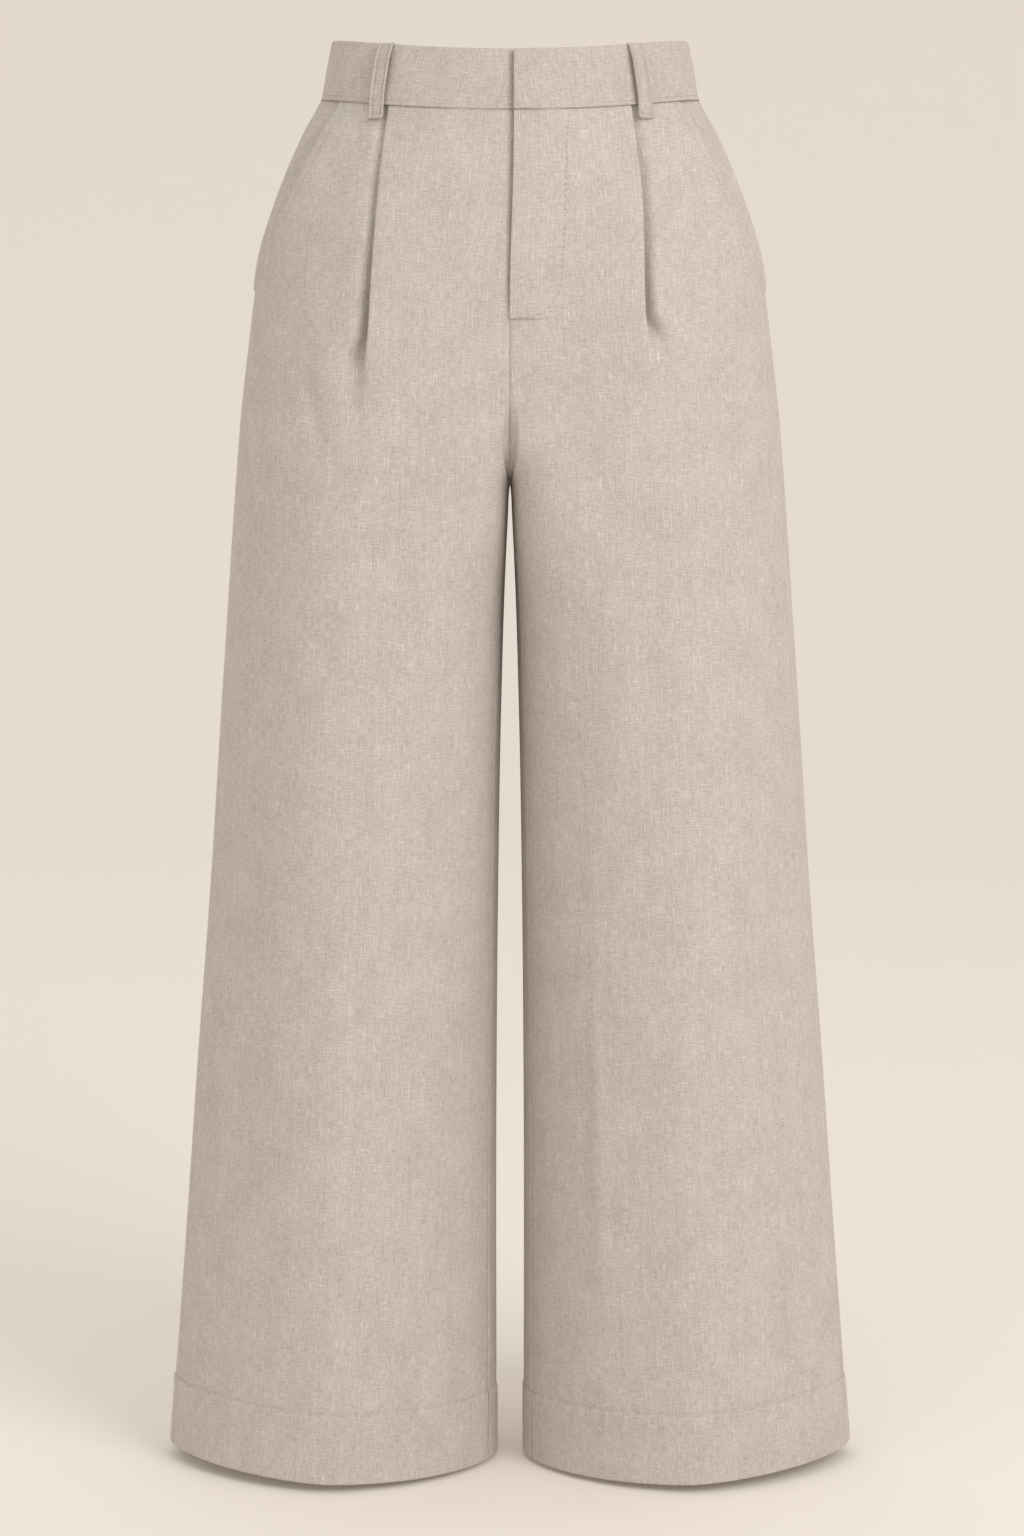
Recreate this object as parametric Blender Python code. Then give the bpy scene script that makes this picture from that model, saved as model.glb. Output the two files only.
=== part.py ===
"""High-waisted wide-leg trousers in linen, filled out as if worn, with no wearer.

Metres, +Z up, front towards -Y. The origin is the centre of the waist, at half the height of the
waistband. "right" and "left" are as seen by someone facing the front, so right is +X.

Every panel is one wall of cloth. A section through one leg, at one height, is a half ring in the
body of the trousers and a whole ring below the crotch; tables give its sizes from waist to hem.
A point of a panel is found from its distance along that section, and from how far the cloth
stands out from it there. A knife pleat is an S bend in the section, so the cloth lies in three
layers beside it.
"""

import math

import bmesh
import bpy
import numpy as np

# Cloth
SEAM_GAP = 0.0003
HALF_GAP = SEAM_GAP / 2
PANEL_WALL = 0.0012
BAND_WALL = 0.0022
HEM_WALL = 0.0026
LOOP_WALL = 0.0014

# Waistband
BAND_TOP = 0.0215
BAND_SEAM = -0.0215
BAND_PROUD = 0.0004
LAP_EDGE = 0.0031
BAND_UNDERLAP = 0.0120
FRONT_DIP = 0.0110
DIP_END = -0.2000

# Fly
FLY_END = -0.1800
FLY_UNDERLAP = 0.0090
FLY_STEP = PANEL_WALL + SEAM_GAP
LAP_RAMP = 0.0200
LAP_MARGIN = 0.0030

# Crotch and hems
CROTCH = -0.3030
HEM_LINE = -0.9970
HEM_EDGE = -1.0508
HEM_PROUD = 0.0005
HEM_TILT = 0.0335
HEM_TILT_START = -0.5000
HEM_TILT_END = -0.9500
FOLDS_TOP = -0.1600

# Slant pockets
POCKET_END = -0.1700
POCKET_GAPE = 0.0008
POCKET_GAPE_WIDTH = 0.0200
POCKET_GAPE_RISE = 0.0300
POCKET_GAPE_FALL = 0.0200
POCKET_SINK = PANEL_WALL + 0.0010
POCKET_SINK_SHARE = 0.7
POCKET_COVER = 0.0140
POCKET_CLOSED = 0.0090

# Gathers of the elasticated back, which run out below, and lie flat under the belt loops
GATHERS = 16
GATHER_DEPTH = 0.0012
GATHER_SWELL = 0.3
GATHER_UNEVEN = 0.2
GATHER_UNEVEN_TURN = 2.3
GATHER_DRIFT = 0.35
GATHER_COLUMNS = 4
GATHERS_EVEN_OUT = 0.2500
CALM_REACH = 0.0120
CALM_RAMP = 0.0120
CALM_END = -0.0800
CALM_WHOLE = -0.0400

# Belt loops
LOOP_WIDTH = 0.0118
LOOP_TOP = BAND_TOP + 0.0006
LOOP_FOOT = -0.0318
LOOP_SEAT = BAND_PROUD + SEAM_GAP
LOOP_BOW = {"front": 0.0026, "back": 0.0008}
LOOP_TOP_BEND = 0.25
LOOP_FOOT_BEND = 0.42
LOOP_ROWS = 9

LINEN = (0.565, 0.491, 0.423, 1.0)
BAND_LINEN = (0.580, 0.505, 0.436, 1.0)

# Half width, depth to the front and back, and where each leg stands furthest forward.
BODY = (
    ("height", "side", "front", "back", "crest"),
    (0.0215, 0.1308, 0.0935, 0.0945, 0.0040),
    (0.0000, 0.1350, 0.0960, 0.0980, 0.0060),
    (-0.0215, 0.1396, 0.0985, 0.1020, 0.0090),
    (-0.0420, 0.1496, 0.1010, 0.1075, 0.0160),
    (-0.0715, 0.1632, 0.1045, 0.1145, 0.0270),
    (-0.1010, 0.1746, 0.1080, 0.1200, 0.0380),
    (-0.1300, 0.1838, 0.1105, 0.1240, 0.0480),
    (-0.1600, 0.1895, 0.1120, 0.1260, 0.0580),
    (-0.2040, 0.1953, 0.1130, 0.1255, 0.0710),
    (-0.2490, 0.2008, 0.1130, 0.1225, 0.0830),
    (-0.3000, 0.2053, 0.1120, 0.1180, 0.0940),
    (-0.3760, 0.2112, 0.1095, 0.1120, 0.1040),
    (-0.4670, 0.2180, 0.1065, 0.1070, 0.1110),
    (-0.6050, 0.2280, 0.1025, 0.1025, 0.1180),
    (-0.7450, 0.2396, 0.0995, 0.0995, 0.1245),
    (-0.8870, 0.2506, 0.0975, 0.0975, 0.1305),
    (-1.0550, 0.2645, 0.0955, 0.0955, 0.1375),
)

# How deep the cloth has sunk at the middle seam: 0 is level with the crest of the leg, 1 is the
# crotch. It is the seam's place on the curve of the inner fullness.
CLOSING = (
    ("height", "share"),
    (-0.1000, 0.0001),
    (-0.1600, 0.0100),
    (-0.2000, 0.0400),
    (-0.2300, 0.0730),
    (-0.2500, 0.1360),
    (-0.2680, 0.2900),
    (-0.2800, 0.5000),
    (-0.2900, 0.7700),
    (-0.2975, 0.9660),
    (-0.3010, 0.9980),
    (-0.3030, 1.0000),
)

# Where the inner leg is, how far both seams turn to the front, in degrees, and how full the
# section is on either side of its crest: 2 is an ellipse, less is a lens, and more is squarer.
LEG = (
    ("height", "inner", "outseam_turn", "inseam_turn", "outer_fullness", "inner_fullness"),
    (-0.2000, 0.00015, 0.0, 0.0, 2.00, 2.00),
    (-0.2300, 0.00015, 0.2, 0.0, 1.99, 2.50),
    (-0.2500, 0.00015, 0.4, 0.0, 1.98, 3.40),
    (-0.2800, 0.00015, 0.7, 0.0, 1.97, 5.00),
    (-0.3030, 0.00015, 1.0, 0.0, 1.96, 5.60),
    (-0.3085, 0.00070, 1.1, 2.0, 1.96, 5.55),
    (-0.3235, 0.00140, 1.5, 7.0, 1.94, 5.20),
    (-0.3760, 0.00380, 3.0, 18.5, 1.90, 3.40),
    (-0.4670, 0.00650, 5.0, 18.5, 1.83, 2.60),
    (-0.6050, 0.00890, 8.0, 17.5, 1.74, 2.15),
    (-0.7450, 0.01010, 10.0, 17.3, 1.67, 1.90),
    (-1.0550, 0.01040, 11.5, 17.5, 1.55, 1.72),
)

# The knife pleat: its fold's place, how far it laps, how far the cloth turns (degrees),
# the length of cloth in each bend, and how far the top layer stands out.
PLEAT = (
    ("height", "fold_x", "lap", "turn", "bend", "lift"),
    (-0.0215, 0.0872, 0.0130, 180.0, 0.0031, 0.0000),
    (-0.0600, 0.0920, 0.0110, 180.0, 0.0032, 0.0003),
    (-0.0950, 0.0950, 0.0085, 180.0, 0.0034, 0.0008),
    (-0.1300, 0.0972, 0.0060, 180.0, 0.0037, 0.0013),
    (-0.1620, 0.0990, 0.0030, 176.0, 0.0040, 0.0017),
    (-0.1880, 0.1005, 0.0012, 140.0, 0.0034, 0.0017),
    (-0.2020, 0.1020, 0.0012, 95.0, 0.0032, 0.0014),
    (-0.2200, 0.1032, 0.0012, 50.0, 0.0033, 0.0010),
    (-0.2500, 0.1042, 0.0016, 18.0, 0.0040, 0.0004),
    (-0.2950, 0.1050, 0.0040, 0.0, 0.0060, 0.0000),
    (-0.4500, 0.1100, 0.0060, 0.0, 0.0090, 0.0000),
    (-1.0550, 0.1370, 0.0060, 0.0, 0.0090, 0.0000),
)
BEND_STEPS = 3
LAP_STEPS = 2
PLEAT_RAMP = 0.0340
PLEAT_SPREAD = 0.0450

# The slant pocket: how far round from the side its edge lies, in degrees.
POCKET = (
    ("height", "edge_turn"),
    (-0.0215, 28.2),
    (-0.0590, 23.6),
    (-0.0800, 21.6),
    (-0.0960, 19.8),
    (-0.1160, 16.8),
    (-0.1350, 12.8),
    (-0.1550, 7.4),
    (-0.1700, 0.0),
)

# Gathers of the back panels: how deep they are below the band.
GATHER_FADE = (
    ("height", "depth"),
    (-0.0215, 0.0012),
    (-0.0450, 0.0020),
    (-0.0750, 0.0016),
    (-0.1100, 0.0008),
    (-0.1600, 0.0000),
    (-0.2000, 0.0000),
)

# Large soft folds. "across" is a share of the panel from side seam to inner edge, "reach" is half
# the width as such a share, and "out" is positive for a ridge and negative for a trough.
FRONT_FOLDS = (
    ("across", "top", "bottom", "reach", "out"),
    (0.46, -0.200, -1.120, 0.20, 0.0035),
    (0.20, -0.330, -0.900, 0.13, -0.0020),
    (0.78, -0.260, -0.720, 0.14, -0.0025),
    (0.62, -0.560, -1.150, 0.12, -0.0015),
)
BACK_FOLDS = (
    ("across", "top", "bottom", "reach", "out"),
    (0.48, -0.160, -1.120, 0.18, 0.0040),
    (0.26, -0.280, -0.980, 0.12, -0.0030),
    (0.72, -0.240, -0.800, 0.12, -0.0035),
    (0.86, -0.330, -1.150, 0.10, 0.0020),
)

# How the gathers' spacing drifts: waves round the back, where each starts, and its size.
DRIFTS = (
    ("waves", "start", "size"),
    (3, 0.15, 0.6),
    (7, 0.00, 0.4),
)

# The belt loops: how far their middle line is from the middle of the trousers.
BELT_LOOPS = (
    ("name", "part", "top_x", "foot_x", "mirror"),
    ("belt_loop_front_left", "front", 0.0877, 0.0958, True),
    ("belt_loop_front_right", "front", 0.0889, 0.0972, False),
    ("belt_loop_back_left", "back", 0.0805, 0.0887, True),
    ("belt_loop_back_right", "back", 0.0805, 0.0887, False),
    ("belt_loop_back_centre", "back", 0.0000, 0.0000, False),
)

# Rows of the leg panels between the waist seam and the hem, and those beside the hem's line and
# the end of the fly.
HEIGHTS = (
    -0.0400, -0.0620, -0.0860, -0.1120, -0.1360, -0.1550, -0.1700, -0.1800,
    -0.1960, -0.2140, -0.2330, -0.2520, -0.2680, -0.2810, -0.2910, -0.2980, -0.3015, -0.3030,
    -0.3085, -0.3220, -0.3700, -0.4600, -0.6000, -0.7600, -0.9000,
)
HEM_ROWS = (HEM_LINE + 0.0010, HEM_LINE - 0.0006, HEM_EDGE)
FLY_ROWS = (FLY_END + 0.0040, FLY_END - 0.0002)
POCKET_ROWS = 6
BAND_HEIGHTS = (0.0100, -0.0060)

# Columns of the panels, and how far those near the fly are from its edge.
BASE_SAMPLES = 181
LOWER_COLUMNS = 7
UPPER_COLUMNS = 5
FLY_COLUMNS = (0.0320, 0.0220, 0.0120, 0.0050, 0.0)
BAND_COLUMNS = 12
BAND_LAP_COLUMNS = (0.0360, 0.0280, 0.0200, 0.0140, 0.0060, 0.0)
POCKET_COLUMNS = 6


def smooth(value):
    """0 to 1, level at both ends."""
    value = np.clip(value, 0.0, 1.0)
    return value * value * (3.0 - 2.0 * value)


def read(table, name, height):
    """One column of a table at any height, on a smooth curve through its rows."""
    column = table[0].index(name)
    rows = sorted(table[1:])
    heights = np.array([row[0] for row in rows])
    values = np.array([row[column] for row in rows])
    height = float(np.clip(height, heights[0], heights[-1]))
    slopes = np.gradient(values, heights)
    flat = np.zeros(len(values), dtype=bool)
    flat[1:-1] = (values[1:-1] - values[:-2]) * (values[2:] - values[1:-1]) <= 0.0
    slopes[flat] = 0.0
    low = min(int(np.searchsorted(heights, height, side="right")) - 1, len(rows) - 2)
    step = heights[low + 1] - heights[low]
    share = (height - heights[low]) / step
    rise = share * share * (3.0 - 2.0 * share)
    return float(
        values[low] * (1.0 - rise)
        + values[low + 1] * rise
        + step * slopes[low] * share * (1.0 - share) ** 2
        - step * slopes[low + 1] * share * share * (1.0 - share)
    )


def table_rows(table):
    return [dict(zip(table[0], row)) for row in table[1:]]


class Section:
    """The outside of one leg at one height, from its outer seam round the front or the back.

    Distances run along it from the seam. Everything is worked out for the right leg.
    """

    def __init__(self, height, part, end_x=HALF_GAP):
        self.height = height
        side = read(BODY, "side", height)
        front = read(BODY, "front", height)
        back = read(BODY, "back", height)
        crest = read(BODY, "crest", height)
        start = math.radians(read(LEG, "outseam_turn", height))
        outer_fullness = read(LEG, "outer_fullness", height)
        inner_fullness = read(LEG, "inner_fullness", height)
        if height <= CROTCH:
            inner_reach = crest - read(LEG, "inner", height)
            end = math.pi - math.radians(read(LEG, "inseam_turn", height))
            if part == "back":
                end = end - 2 * math.pi
        else:
            share = max(read(CLOSING, "share", height), 0.0001)
            inner_reach = crest / share ** (1.0 / inner_fullness)
            reached = ((crest - end_x) / inner_reach) ** (inner_fullness / 2.0)
            end = math.acos(-min(reached, 1.0))
            end = end if part == "front" else -end
        quarter = math.copysign(math.pi / 2, end)
        outer = np.linspace(start, quarter, BASE_SAMPLES)
        angles = np.concatenate((outer, np.linspace(quarter, end, BASE_SAMPLES)[1:]))
        outside = np.cos(angles) >= 0.0
        reach = np.where(outside, side - crest, inner_reach)
        depth = np.where(np.sin(angles) >= 0.0, front, back)
        power = 2.0 / np.where(outside, outer_fullness, inner_fullness)
        self.side = side
        self.centre = (side + crest - inner_reach) / 2 if height <= CROTCH else crest
        self.x = crest + reach * np.sign(np.cos(angles)) * np.abs(np.cos(angles)) ** power
        self.y = -depth * np.sign(np.sin(angles)) * np.abs(np.sin(angles)) ** power
        steps = np.hypot(np.diff(self.x), np.diff(self.y))
        self.along = np.concatenate(([0.0], np.cumsum(steps)))
        self.length = self.along[-1]
        if height <= CROTCH:
            self.length -= HALF_GAP
        self.turn = np.degrees(angles)
        self.front_depth = front
        tangent_x = np.gradient(self.x, self.along)
        tangent_y = np.gradient(self.y, self.along)
        outward = 1.0 if part == "front" else -1.0
        self.normal_x = -tangent_y * outward
        self.normal_y = tangent_x * outward

    def at_x(self, x):
        """Distance along the section to where it passes x, on the way to the middle."""
        return float(np.interp(-x, -self.x, self.along))

    def at_turn(self, degrees):
        return float(np.interp(degrees, self.turn, self.along))

    def place(self, along, out):
        """Points at these distances, standing out from the section by these amounts."""
        x = np.interp(along, self.along, self.x)
        y = np.interp(along, self.along, self.y)
        normal_x = np.interp(along, self.along, self.normal_x)
        normal_y = np.interp(along, self.along, self.normal_y)
        return np.stack((x + normal_x * out, y + normal_y * out), axis=1)

    def drop(self, along):
        """Height of the cloth there: the waist dips to the front, and the hem is cut aslant."""
        x = np.interp(along, self.along, self.x)
        y = np.interp(along, self.along, self.y)
        dip = FRONT_DIP * smooth((self.height - DIP_END) / (BAND_SEAM - DIP_END))
        forward = np.clip(-y / self.front_depth, 0.0, 1.0)
        tilt = HEM_TILT * smooth((HEM_TILT_START - self.height) / (HEM_TILT_START - HEM_TILT_END))
        return self.height - dip * forward**2 + tilt * (x - self.centre)


def side_steps(points):
    """Outward steps, one per point, for a wall of even thickness round the bends of a line."""
    legs = np.diff(points, axis=0)
    legs /= np.linalg.norm(legs, axis=1)[:, None]
    square = np.stack((-legs[:, 1], legs[:, 0]), axis=1)
    before = np.vstack((square[:1], square))
    after = np.vstack((square, square[-1:]))
    return (before + after) / (1.0 + np.sum(before * after, axis=1))[:, None]


def wall_row(section, along, out, wall, front=True, stop_x=None):
    """One row of a panel: the outer and inner face of the wall, as two lists of points."""
    middle = section.place(along, out - wall / 2)
    step = side_steps(middle) * (1.0 if front else -1.0)
    square = section.place(along, 1.0) - section.place(along, 0.0)
    step[0] = square[0]
    step[-1] = square[-1]
    step *= wall / 2
    heights = section.drop(along)
    faces = []
    for face in (middle + step, middle - step):
        if stop_x is not None:
            face[:, 0] = np.maximum(face[:, 0], stop_x)
        faces.append(np.column_stack((face, heights)))
    return faces


def whole_length(section, part):
    """The length that places on a panel are shares of. It grows evenly down to the crotch."""
    if section.height >= FOLDS_TOP or section.height <= CROTCH:
        return section.length
    above = Section(FOLDS_TOP, part).length
    below = Section(CROTCH, part).length
    return above + (below - above) * smooth((FOLDS_TOP - section.height) / (FOLDS_TOP - CROTCH))


def folds_out(folds, height, across):
    """How far the large soft folds move the cloth at this height."""
    out = np.zeros_like(across)
    for fold in table_rows(folds):
        middle = (fold["top"] + fold["bottom"]) / 2
        reach = (fold["top"] - fold["bottom"]) / 2
        down = smooth(1.0 - abs(height - middle) / reach)
        out += fold["out"] * down * smooth(1.0 - np.abs(across - fold["across"]) / fold["reach"])
    return out


def pleat_line(section):
    """The S bend of the pleat: distances along and out, from the lower layer to the upper."""
    height = section.height
    turn = math.radians(max(read(PLEAT, "turn", height), 0.0))
    bend = read(PLEAT, "bend", height)
    lap = read(PLEAT, "lap", height)
    headings = []
    lengths = []
    for step in range(BEND_STEPS):
        headings.append(turn * (step + 0.5) / BEND_STEPS)
        lengths.append(bend / BEND_STEPS)
    for step in range(LAP_STEPS):
        headings.append(turn)
        lengths.append(lap / LAP_STEPS)
    for step in range(BEND_STEPS):
        headings.append(turn * (1.0 - (step + 0.5) / BEND_STEPS))
        lengths.append(bend / BEND_STEPS)
    headings = np.array(headings)
    lengths = np.array(lengths)
    along = np.concatenate(([0.0], np.cumsum(lengths * np.cos(headings))))
    out = np.concatenate(([0.0], np.cumsum(lengths * np.sin(headings))))
    fold = BEND_STEPS + LAP_STEPS + BEND_STEPS / 2
    fold_along = np.interp(fold, np.arange(len(along)), along)
    along += section.at_x(read(PLEAT, "fold_x", height)) - fold_along
    out += read(PLEAT, "lift", height) - out[-1]
    return along, out


def front_row(height, laps):
    """One row of a front panel, from the pocket edge or side seam to the middle or inner seam."""
    fly = height >= FLY_END
    end_x = HALF_GAP
    if fly:
        end_x = LAP_EDGE * smooth((height - FLY_END) / (BAND_SEAM - FLY_END))
        if not laps:
            end_x = -LAP_EDGE - FLY_UNDERLAP if height > FLY_END else HALF_GAP
    section = Section(height, "front", end_x)
    start = HALF_GAP
    gape = 0.0
    if height > POCKET_END:
        start = max(section.at_turn(read(POCKET, "edge_turn", height)), HALF_GAP)
        gape = POCKET_GAPE * smooth((height - POCKET_END) / POCKET_GAPE_RISE)
        gape *= smooth((BAND_SEAM - height) / POCKET_GAPE_FALL)
    pleat_along, pleat_out = pleat_line(section)
    lower = np.linspace(start, pleat_along[0], LOWER_COLUMNS + 1)[:-1]
    under_fold = pleat_along.min() - PANEL_WALL
    lower_out = pleat_out[0] * smooth(1.0 - (under_fold - lower) / PLEAT_RAMP)
    lower_out += gape * smooth(1.0 - (lower - start) / POCKET_GAPE_WIDTH)
    fly_stops = section.length - np.array(FLY_COLUMNS)
    upper = np.linspace(pleat_along[-1], fly_stops[0], UPPER_COLUMNS + 1)[1:]
    upper = np.concatenate((upper, fly_stops[1:]))
    upper_out = pleat_out[-1] * smooth(1.0 - (upper - pleat_along[-1]) / PLEAT_SPREAD)
    if laps and fly:
        flat_to = section.length - FLY_UNDERLAP - LAP_MARGIN
        upper_out += FLY_STEP * smooth(1.0 - (flat_to - upper) / LAP_RAMP)
    along = np.concatenate((lower, pleat_along, upper))
    out = np.concatenate((lower_out, pleat_out, upper_out))
    out += folds_out(FRONT_FOLDS, height, along / whole_length(section, "front"))
    wall = PANEL_WALL
    if height < HEM_LINE:
        out += HEM_PROUD
        wall = HEM_WALL
    stop_x = HALF_GAP if height < FLY_END else None
    return wall_row(section, along, out, wall, True, stop_x)


def gather_phase():
    """Shares round the back waist, side to side, and the count of gathers passed at each."""
    share = np.linspace(0.0, 1.0, 721)
    phase = GATHERS * share
    for drift in table_rows(DRIFTS):
        turns = drift["waves"] * share + drift["start"]
        phase += GATHER_DRIFT * drift["size"] * np.sin(2 * math.pi * turns)
    phase -= phase[0]
    return share, phase * GATHERS / phase[-1]


def gather_wave(share):
    """Where the cloth stands between trough, -1, and crest, 1, at these shares of the back."""
    shares, phase = gather_phase()
    count = np.interp(share, shares, phase)
    uneven = 1.0 - GATHER_UNEVEN * (1.0 - np.sin(GATHER_UNEVEN_TURN * count))
    return -np.cos(2 * math.pi * count) * uneven


def gather_shares(first, last):
    """Shares at each quarter of a gather between two of them, both ends included."""
    shares, phase = gather_phase()
    quarters = np.arange(first * GATHER_COLUMNS, last * GATHER_COLUMNS + 1) / GATHER_COLUMNS
    return np.interp(quarters, phase, shares)


def loop_x(loop, height):
    """How far a belt loop's middle line is from the middle of the trousers at this height."""
    share = float(np.clip((LOOP_TOP - height) / (LOOP_TOP - LOOP_FOOT), 0.0, 1.0))
    return loop["top_x"] + (loop["foot_x"] - loop["top_x"]) * share


def gather_calm(section, along):
    """0 under the belt loops of the back, where the gathers lie flat, and 1 away from them."""
    x = np.interp(along, section.along, section.x)
    held = smooth((section.height - CALM_END) / (CALM_WHOLE - CALM_END))
    calm = np.ones_like(x)
    for loop in table_rows(BELT_LOOPS):
        if loop["part"] == "back":
            beside = np.abs(x - loop_x(loop, section.height)) - CALM_REACH
            calm = np.minimum(calm, 1.0 - held * smooth(1.0 - beside / CALM_RAMP))
    return calm


def back_row(height, right):
    """One row of a back panel, from the side seam to the middle or inner seam."""
    section = Section(height, "back")
    shares = gather_shares(0, GATHERS // 2)
    middle = shares[-1]
    if right:
        shares = gather_shares(GATHERS // 2, GATHERS)[::-1]
        across = (1.0 - shares) / (1.0 - middle)
    else:
        across = shares / middle
    even = np.linspace(0.0, 1.0, len(across))
    blend = smooth((BAND_SEAM - height) / GATHERS_EVEN_OUT)
    across = across * (1.0 - blend) + even * blend
    along = HALF_GAP + across * (section.length - HALF_GAP)
    out = read(GATHER_FADE, "depth", height) * gather_wave(shares) * gather_calm(section, along)
    out += folds_out(BACK_FOLDS, height, along / whole_length(section, "back"))
    wall = PANEL_WALL
    if height < HEM_LINE:
        out += HEM_PROUD
        wall = HEM_WALL
    return wall_row(section, along, out, wall, False, HALF_GAP)


def pocket_row(height):
    """One row of the piece that shows inside the slant pocket."""
    section = Section(height, "front")
    edge = max(section.at_turn(read(POCKET, "edge_turn", height)), HALF_GAP)
    along = np.concatenate((np.linspace(HALF_GAP, edge, POCKET_COLUMNS), [edge + POCKET_COVER]))
    if edge <= POCKET_COLUMNS * HALF_GAP:
        along = np.linspace(HALF_GAP, HALF_GAP + POCKET_COVER, POCKET_COLUMNS + 1)
    closed = 1.0 - smooth((edge - POCKET_CLOSED) / POCKET_CLOSED)
    sink = np.maximum(smooth(along / (POCKET_SINK_SHARE * edge)), closed)
    return wall_row(section, along, -POCKET_SINK * sink, PANEL_WALL)


def band_front_row(height, laps):
    """One row of a front half of the waistband, from the side seam to the lap."""
    end_x = LAP_EDGE if laps else -LAP_EDGE - BAND_UNDERLAP
    section = Section(height, "front", end_x)
    stops = section.length - np.array(BAND_LAP_COLUMNS)
    along = np.concatenate((np.linspace(HALF_GAP, stops[0], BAND_COLUMNS), stops[1:]))
    out = np.full_like(along, BAND_PROUD)
    if laps:
        flat_to = section.length - BAND_UNDERLAP - LAP_MARGIN
        out += (BAND_WALL + SEAM_GAP) * smooth(1.0 - (flat_to - along) / LAP_RAMP)
    return wall_row(section, along, out, BAND_WALL)


def band_back_row(height):
    """One row of the elasticated back band, from the left side seam to the right one."""
    section = Section(height, "back", 0.0)
    shares = gather_shares(0, GATHERS)
    middle = shares[GATHERS // 2 * GATHER_COLUMNS]
    left = np.minimum(shares / middle, 1.0)
    right = np.clip((1.0 - shares) / (1.0 - middle), 0.0, 1.0)
    on_right = shares > middle
    across = np.where(on_right, right, left)
    along = HALF_GAP + across * (section.length - HALF_GAP)
    inside = min(BAND_TOP - height, height - BAND_SEAM) / (BAND_TOP - BAND_SEAM)
    depth = GATHER_DEPTH * (1.0 + GATHER_SWELL * smooth(inside * 3))
    out = BAND_PROUD + depth * gather_wave(shares) * gather_calm(section, along)
    points = section.place(along, out - BAND_WALL / 2)
    points[:, 0] *= np.where(on_right, 1.0, -1.0)
    step = side_steps(points)
    step[0] = (-1.0, 0.0)
    step[-1] = (1.0, 0.0)
    step *= BAND_WALL / 2
    heights = section.drop(along)
    return [np.column_stack((points + step, heights)), np.column_stack((points - step, heights))]


def loop_rows(loop):
    """A belt loop: a strap that runs over the band, bowed out between its two ends."""
    part = loop["part"]
    rows = []
    for index in range(LOOP_ROWS + 1):
        share = index / LOOP_ROWS
        height = LOOP_TOP + (LOOP_FOOT - LOOP_TOP) * share
        section = Section(height, part, -LOOP_WIDTH)
        middle = section.at_x(loop_x(loop, height))
        along = middle + np.array((-0.5, 0.0, 0.5)) * LOOP_WIDTH
        bow = LOOP_BOW[part] * smooth(share / LOOP_TOP_BEND) * smooth((1.0 - share) / LOOP_FOOT_BEND)
        flat = section.place(along, np.full(3, LOOP_SEAT + bow + LOOP_WALL / 2))
        step = side_steps(flat) * (LOOP_WALL / 2) * (1.0 if part == "front" else -1.0)
        heights = np.full(3, float(section.drop(np.array([middle]))[0]))
        rows.append([np.column_stack((flat + step, heights)), np.column_stack((flat - step, heights))])
    return rows


def add_pair(work, outer, inner, row, column):
    """Two triangles outside and two inside, both cut along the shorter diagonal of the cell."""
    corners = [(row, column), (row, column + 1), (row + 1, column + 1), (row + 1, column)]
    near, right, far, left = (outer[place][across].co for place, across in corners)
    if (near - far).length > (right - left).length:
        corners = corners[1:] + corners[:1]
    for cut in ((0, 1, 2), (0, 2, 3)):
        places = [corners[corner] for corner in cut]
        work.faces.new([outer[place][across] for place, across in places])
        work.faces.new([inner[place][across] for place, across in reversed(places)])


def wall_mesh(name, rows, mirror, colour):
    """A closed wall from rows of outer and inner points, as one named object with its material."""
    sign = np.array((-1.0, 1.0, 1.0)) if mirror else np.ones(3)
    mesh = bpy.data.meshes.new(name)
    work = bmesh.new()
    outer = [[work.verts.new(point * sign) for point in row[0]] for row in rows]
    inner = [[work.verts.new(point * sign) for point in row[1]] for row in rows]
    last_row, last = len(rows) - 1, len(outer[0]) - 1
    for low in range(last_row):
        for column in range(last):
            add_pair(work, outer, inner, low, column)
        for column in (0, last):
            work.faces.new(
                (outer[low][column], inner[low][column], inner[low + 1][column], outer[low + 1][column])
            )
    for row in (0, last_row):
        for column in range(last):
            work.faces.new(
                (outer[row][column], outer[row][column + 1], inner[row][column + 1], inner[row][column])
            )
    bmesh.ops.recalc_face_normals(work, faces=work.faces)
    work.to_mesh(mesh)
    work.free()
    mesh.shade_smooth()
    mesh.set_sharp_from_angle(angle=math.radians(40))
    mesh.materials.append(linen(name + " linen", colour))
    obj = bpy.data.objects.new(name, mesh)
    bpy.context.collection.objects.link(obj)
    return obj


def linen(name, colour):
    """Matte undyed linen."""
    material = bpy.data.materials.new(name)
    material.use_nodes = True
    surface = material.node_tree.nodes["Principled BSDF"]
    surface.inputs["Base Color"].default_value = colour
    surface.inputs["Roughness"].default_value = 0.9
    surface.inputs["Metallic"].default_value = 0.0
    return material


def panel_heights(extra=()):
    """Heights of a leg panel's rows, from the waist seam down."""
    return sorted({BAND_SEAM - HALF_GAP} | set(HEIGHTS + HEM_ROWS + extra), reverse=True)


def make_fronts():
    heights = panel_heights(FLY_ROWS)
    for name, laps in (("front_left", False), ("front_right", True)):
        wall_mesh(name, [front_row(height, laps) for height in heights], not laps, LINEN)


def make_backs():
    heights = panel_heights()
    for name, right in (("back_left", False), ("back_right", True)):
        wall_mesh(name, [back_row(height, right) for height in heights], not right, LINEN)


def make_pocket_sides():
    heights = (BAND_SEAM - HALF_GAP,) + HEIGHTS[:POCKET_ROWS] + (POCKET_END,)
    for name, mirror in (("pocket_side_left", True), ("pocket_side_right", False)):
        wall_mesh(name, [pocket_row(height) for height in heights], mirror, LINEN)


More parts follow.
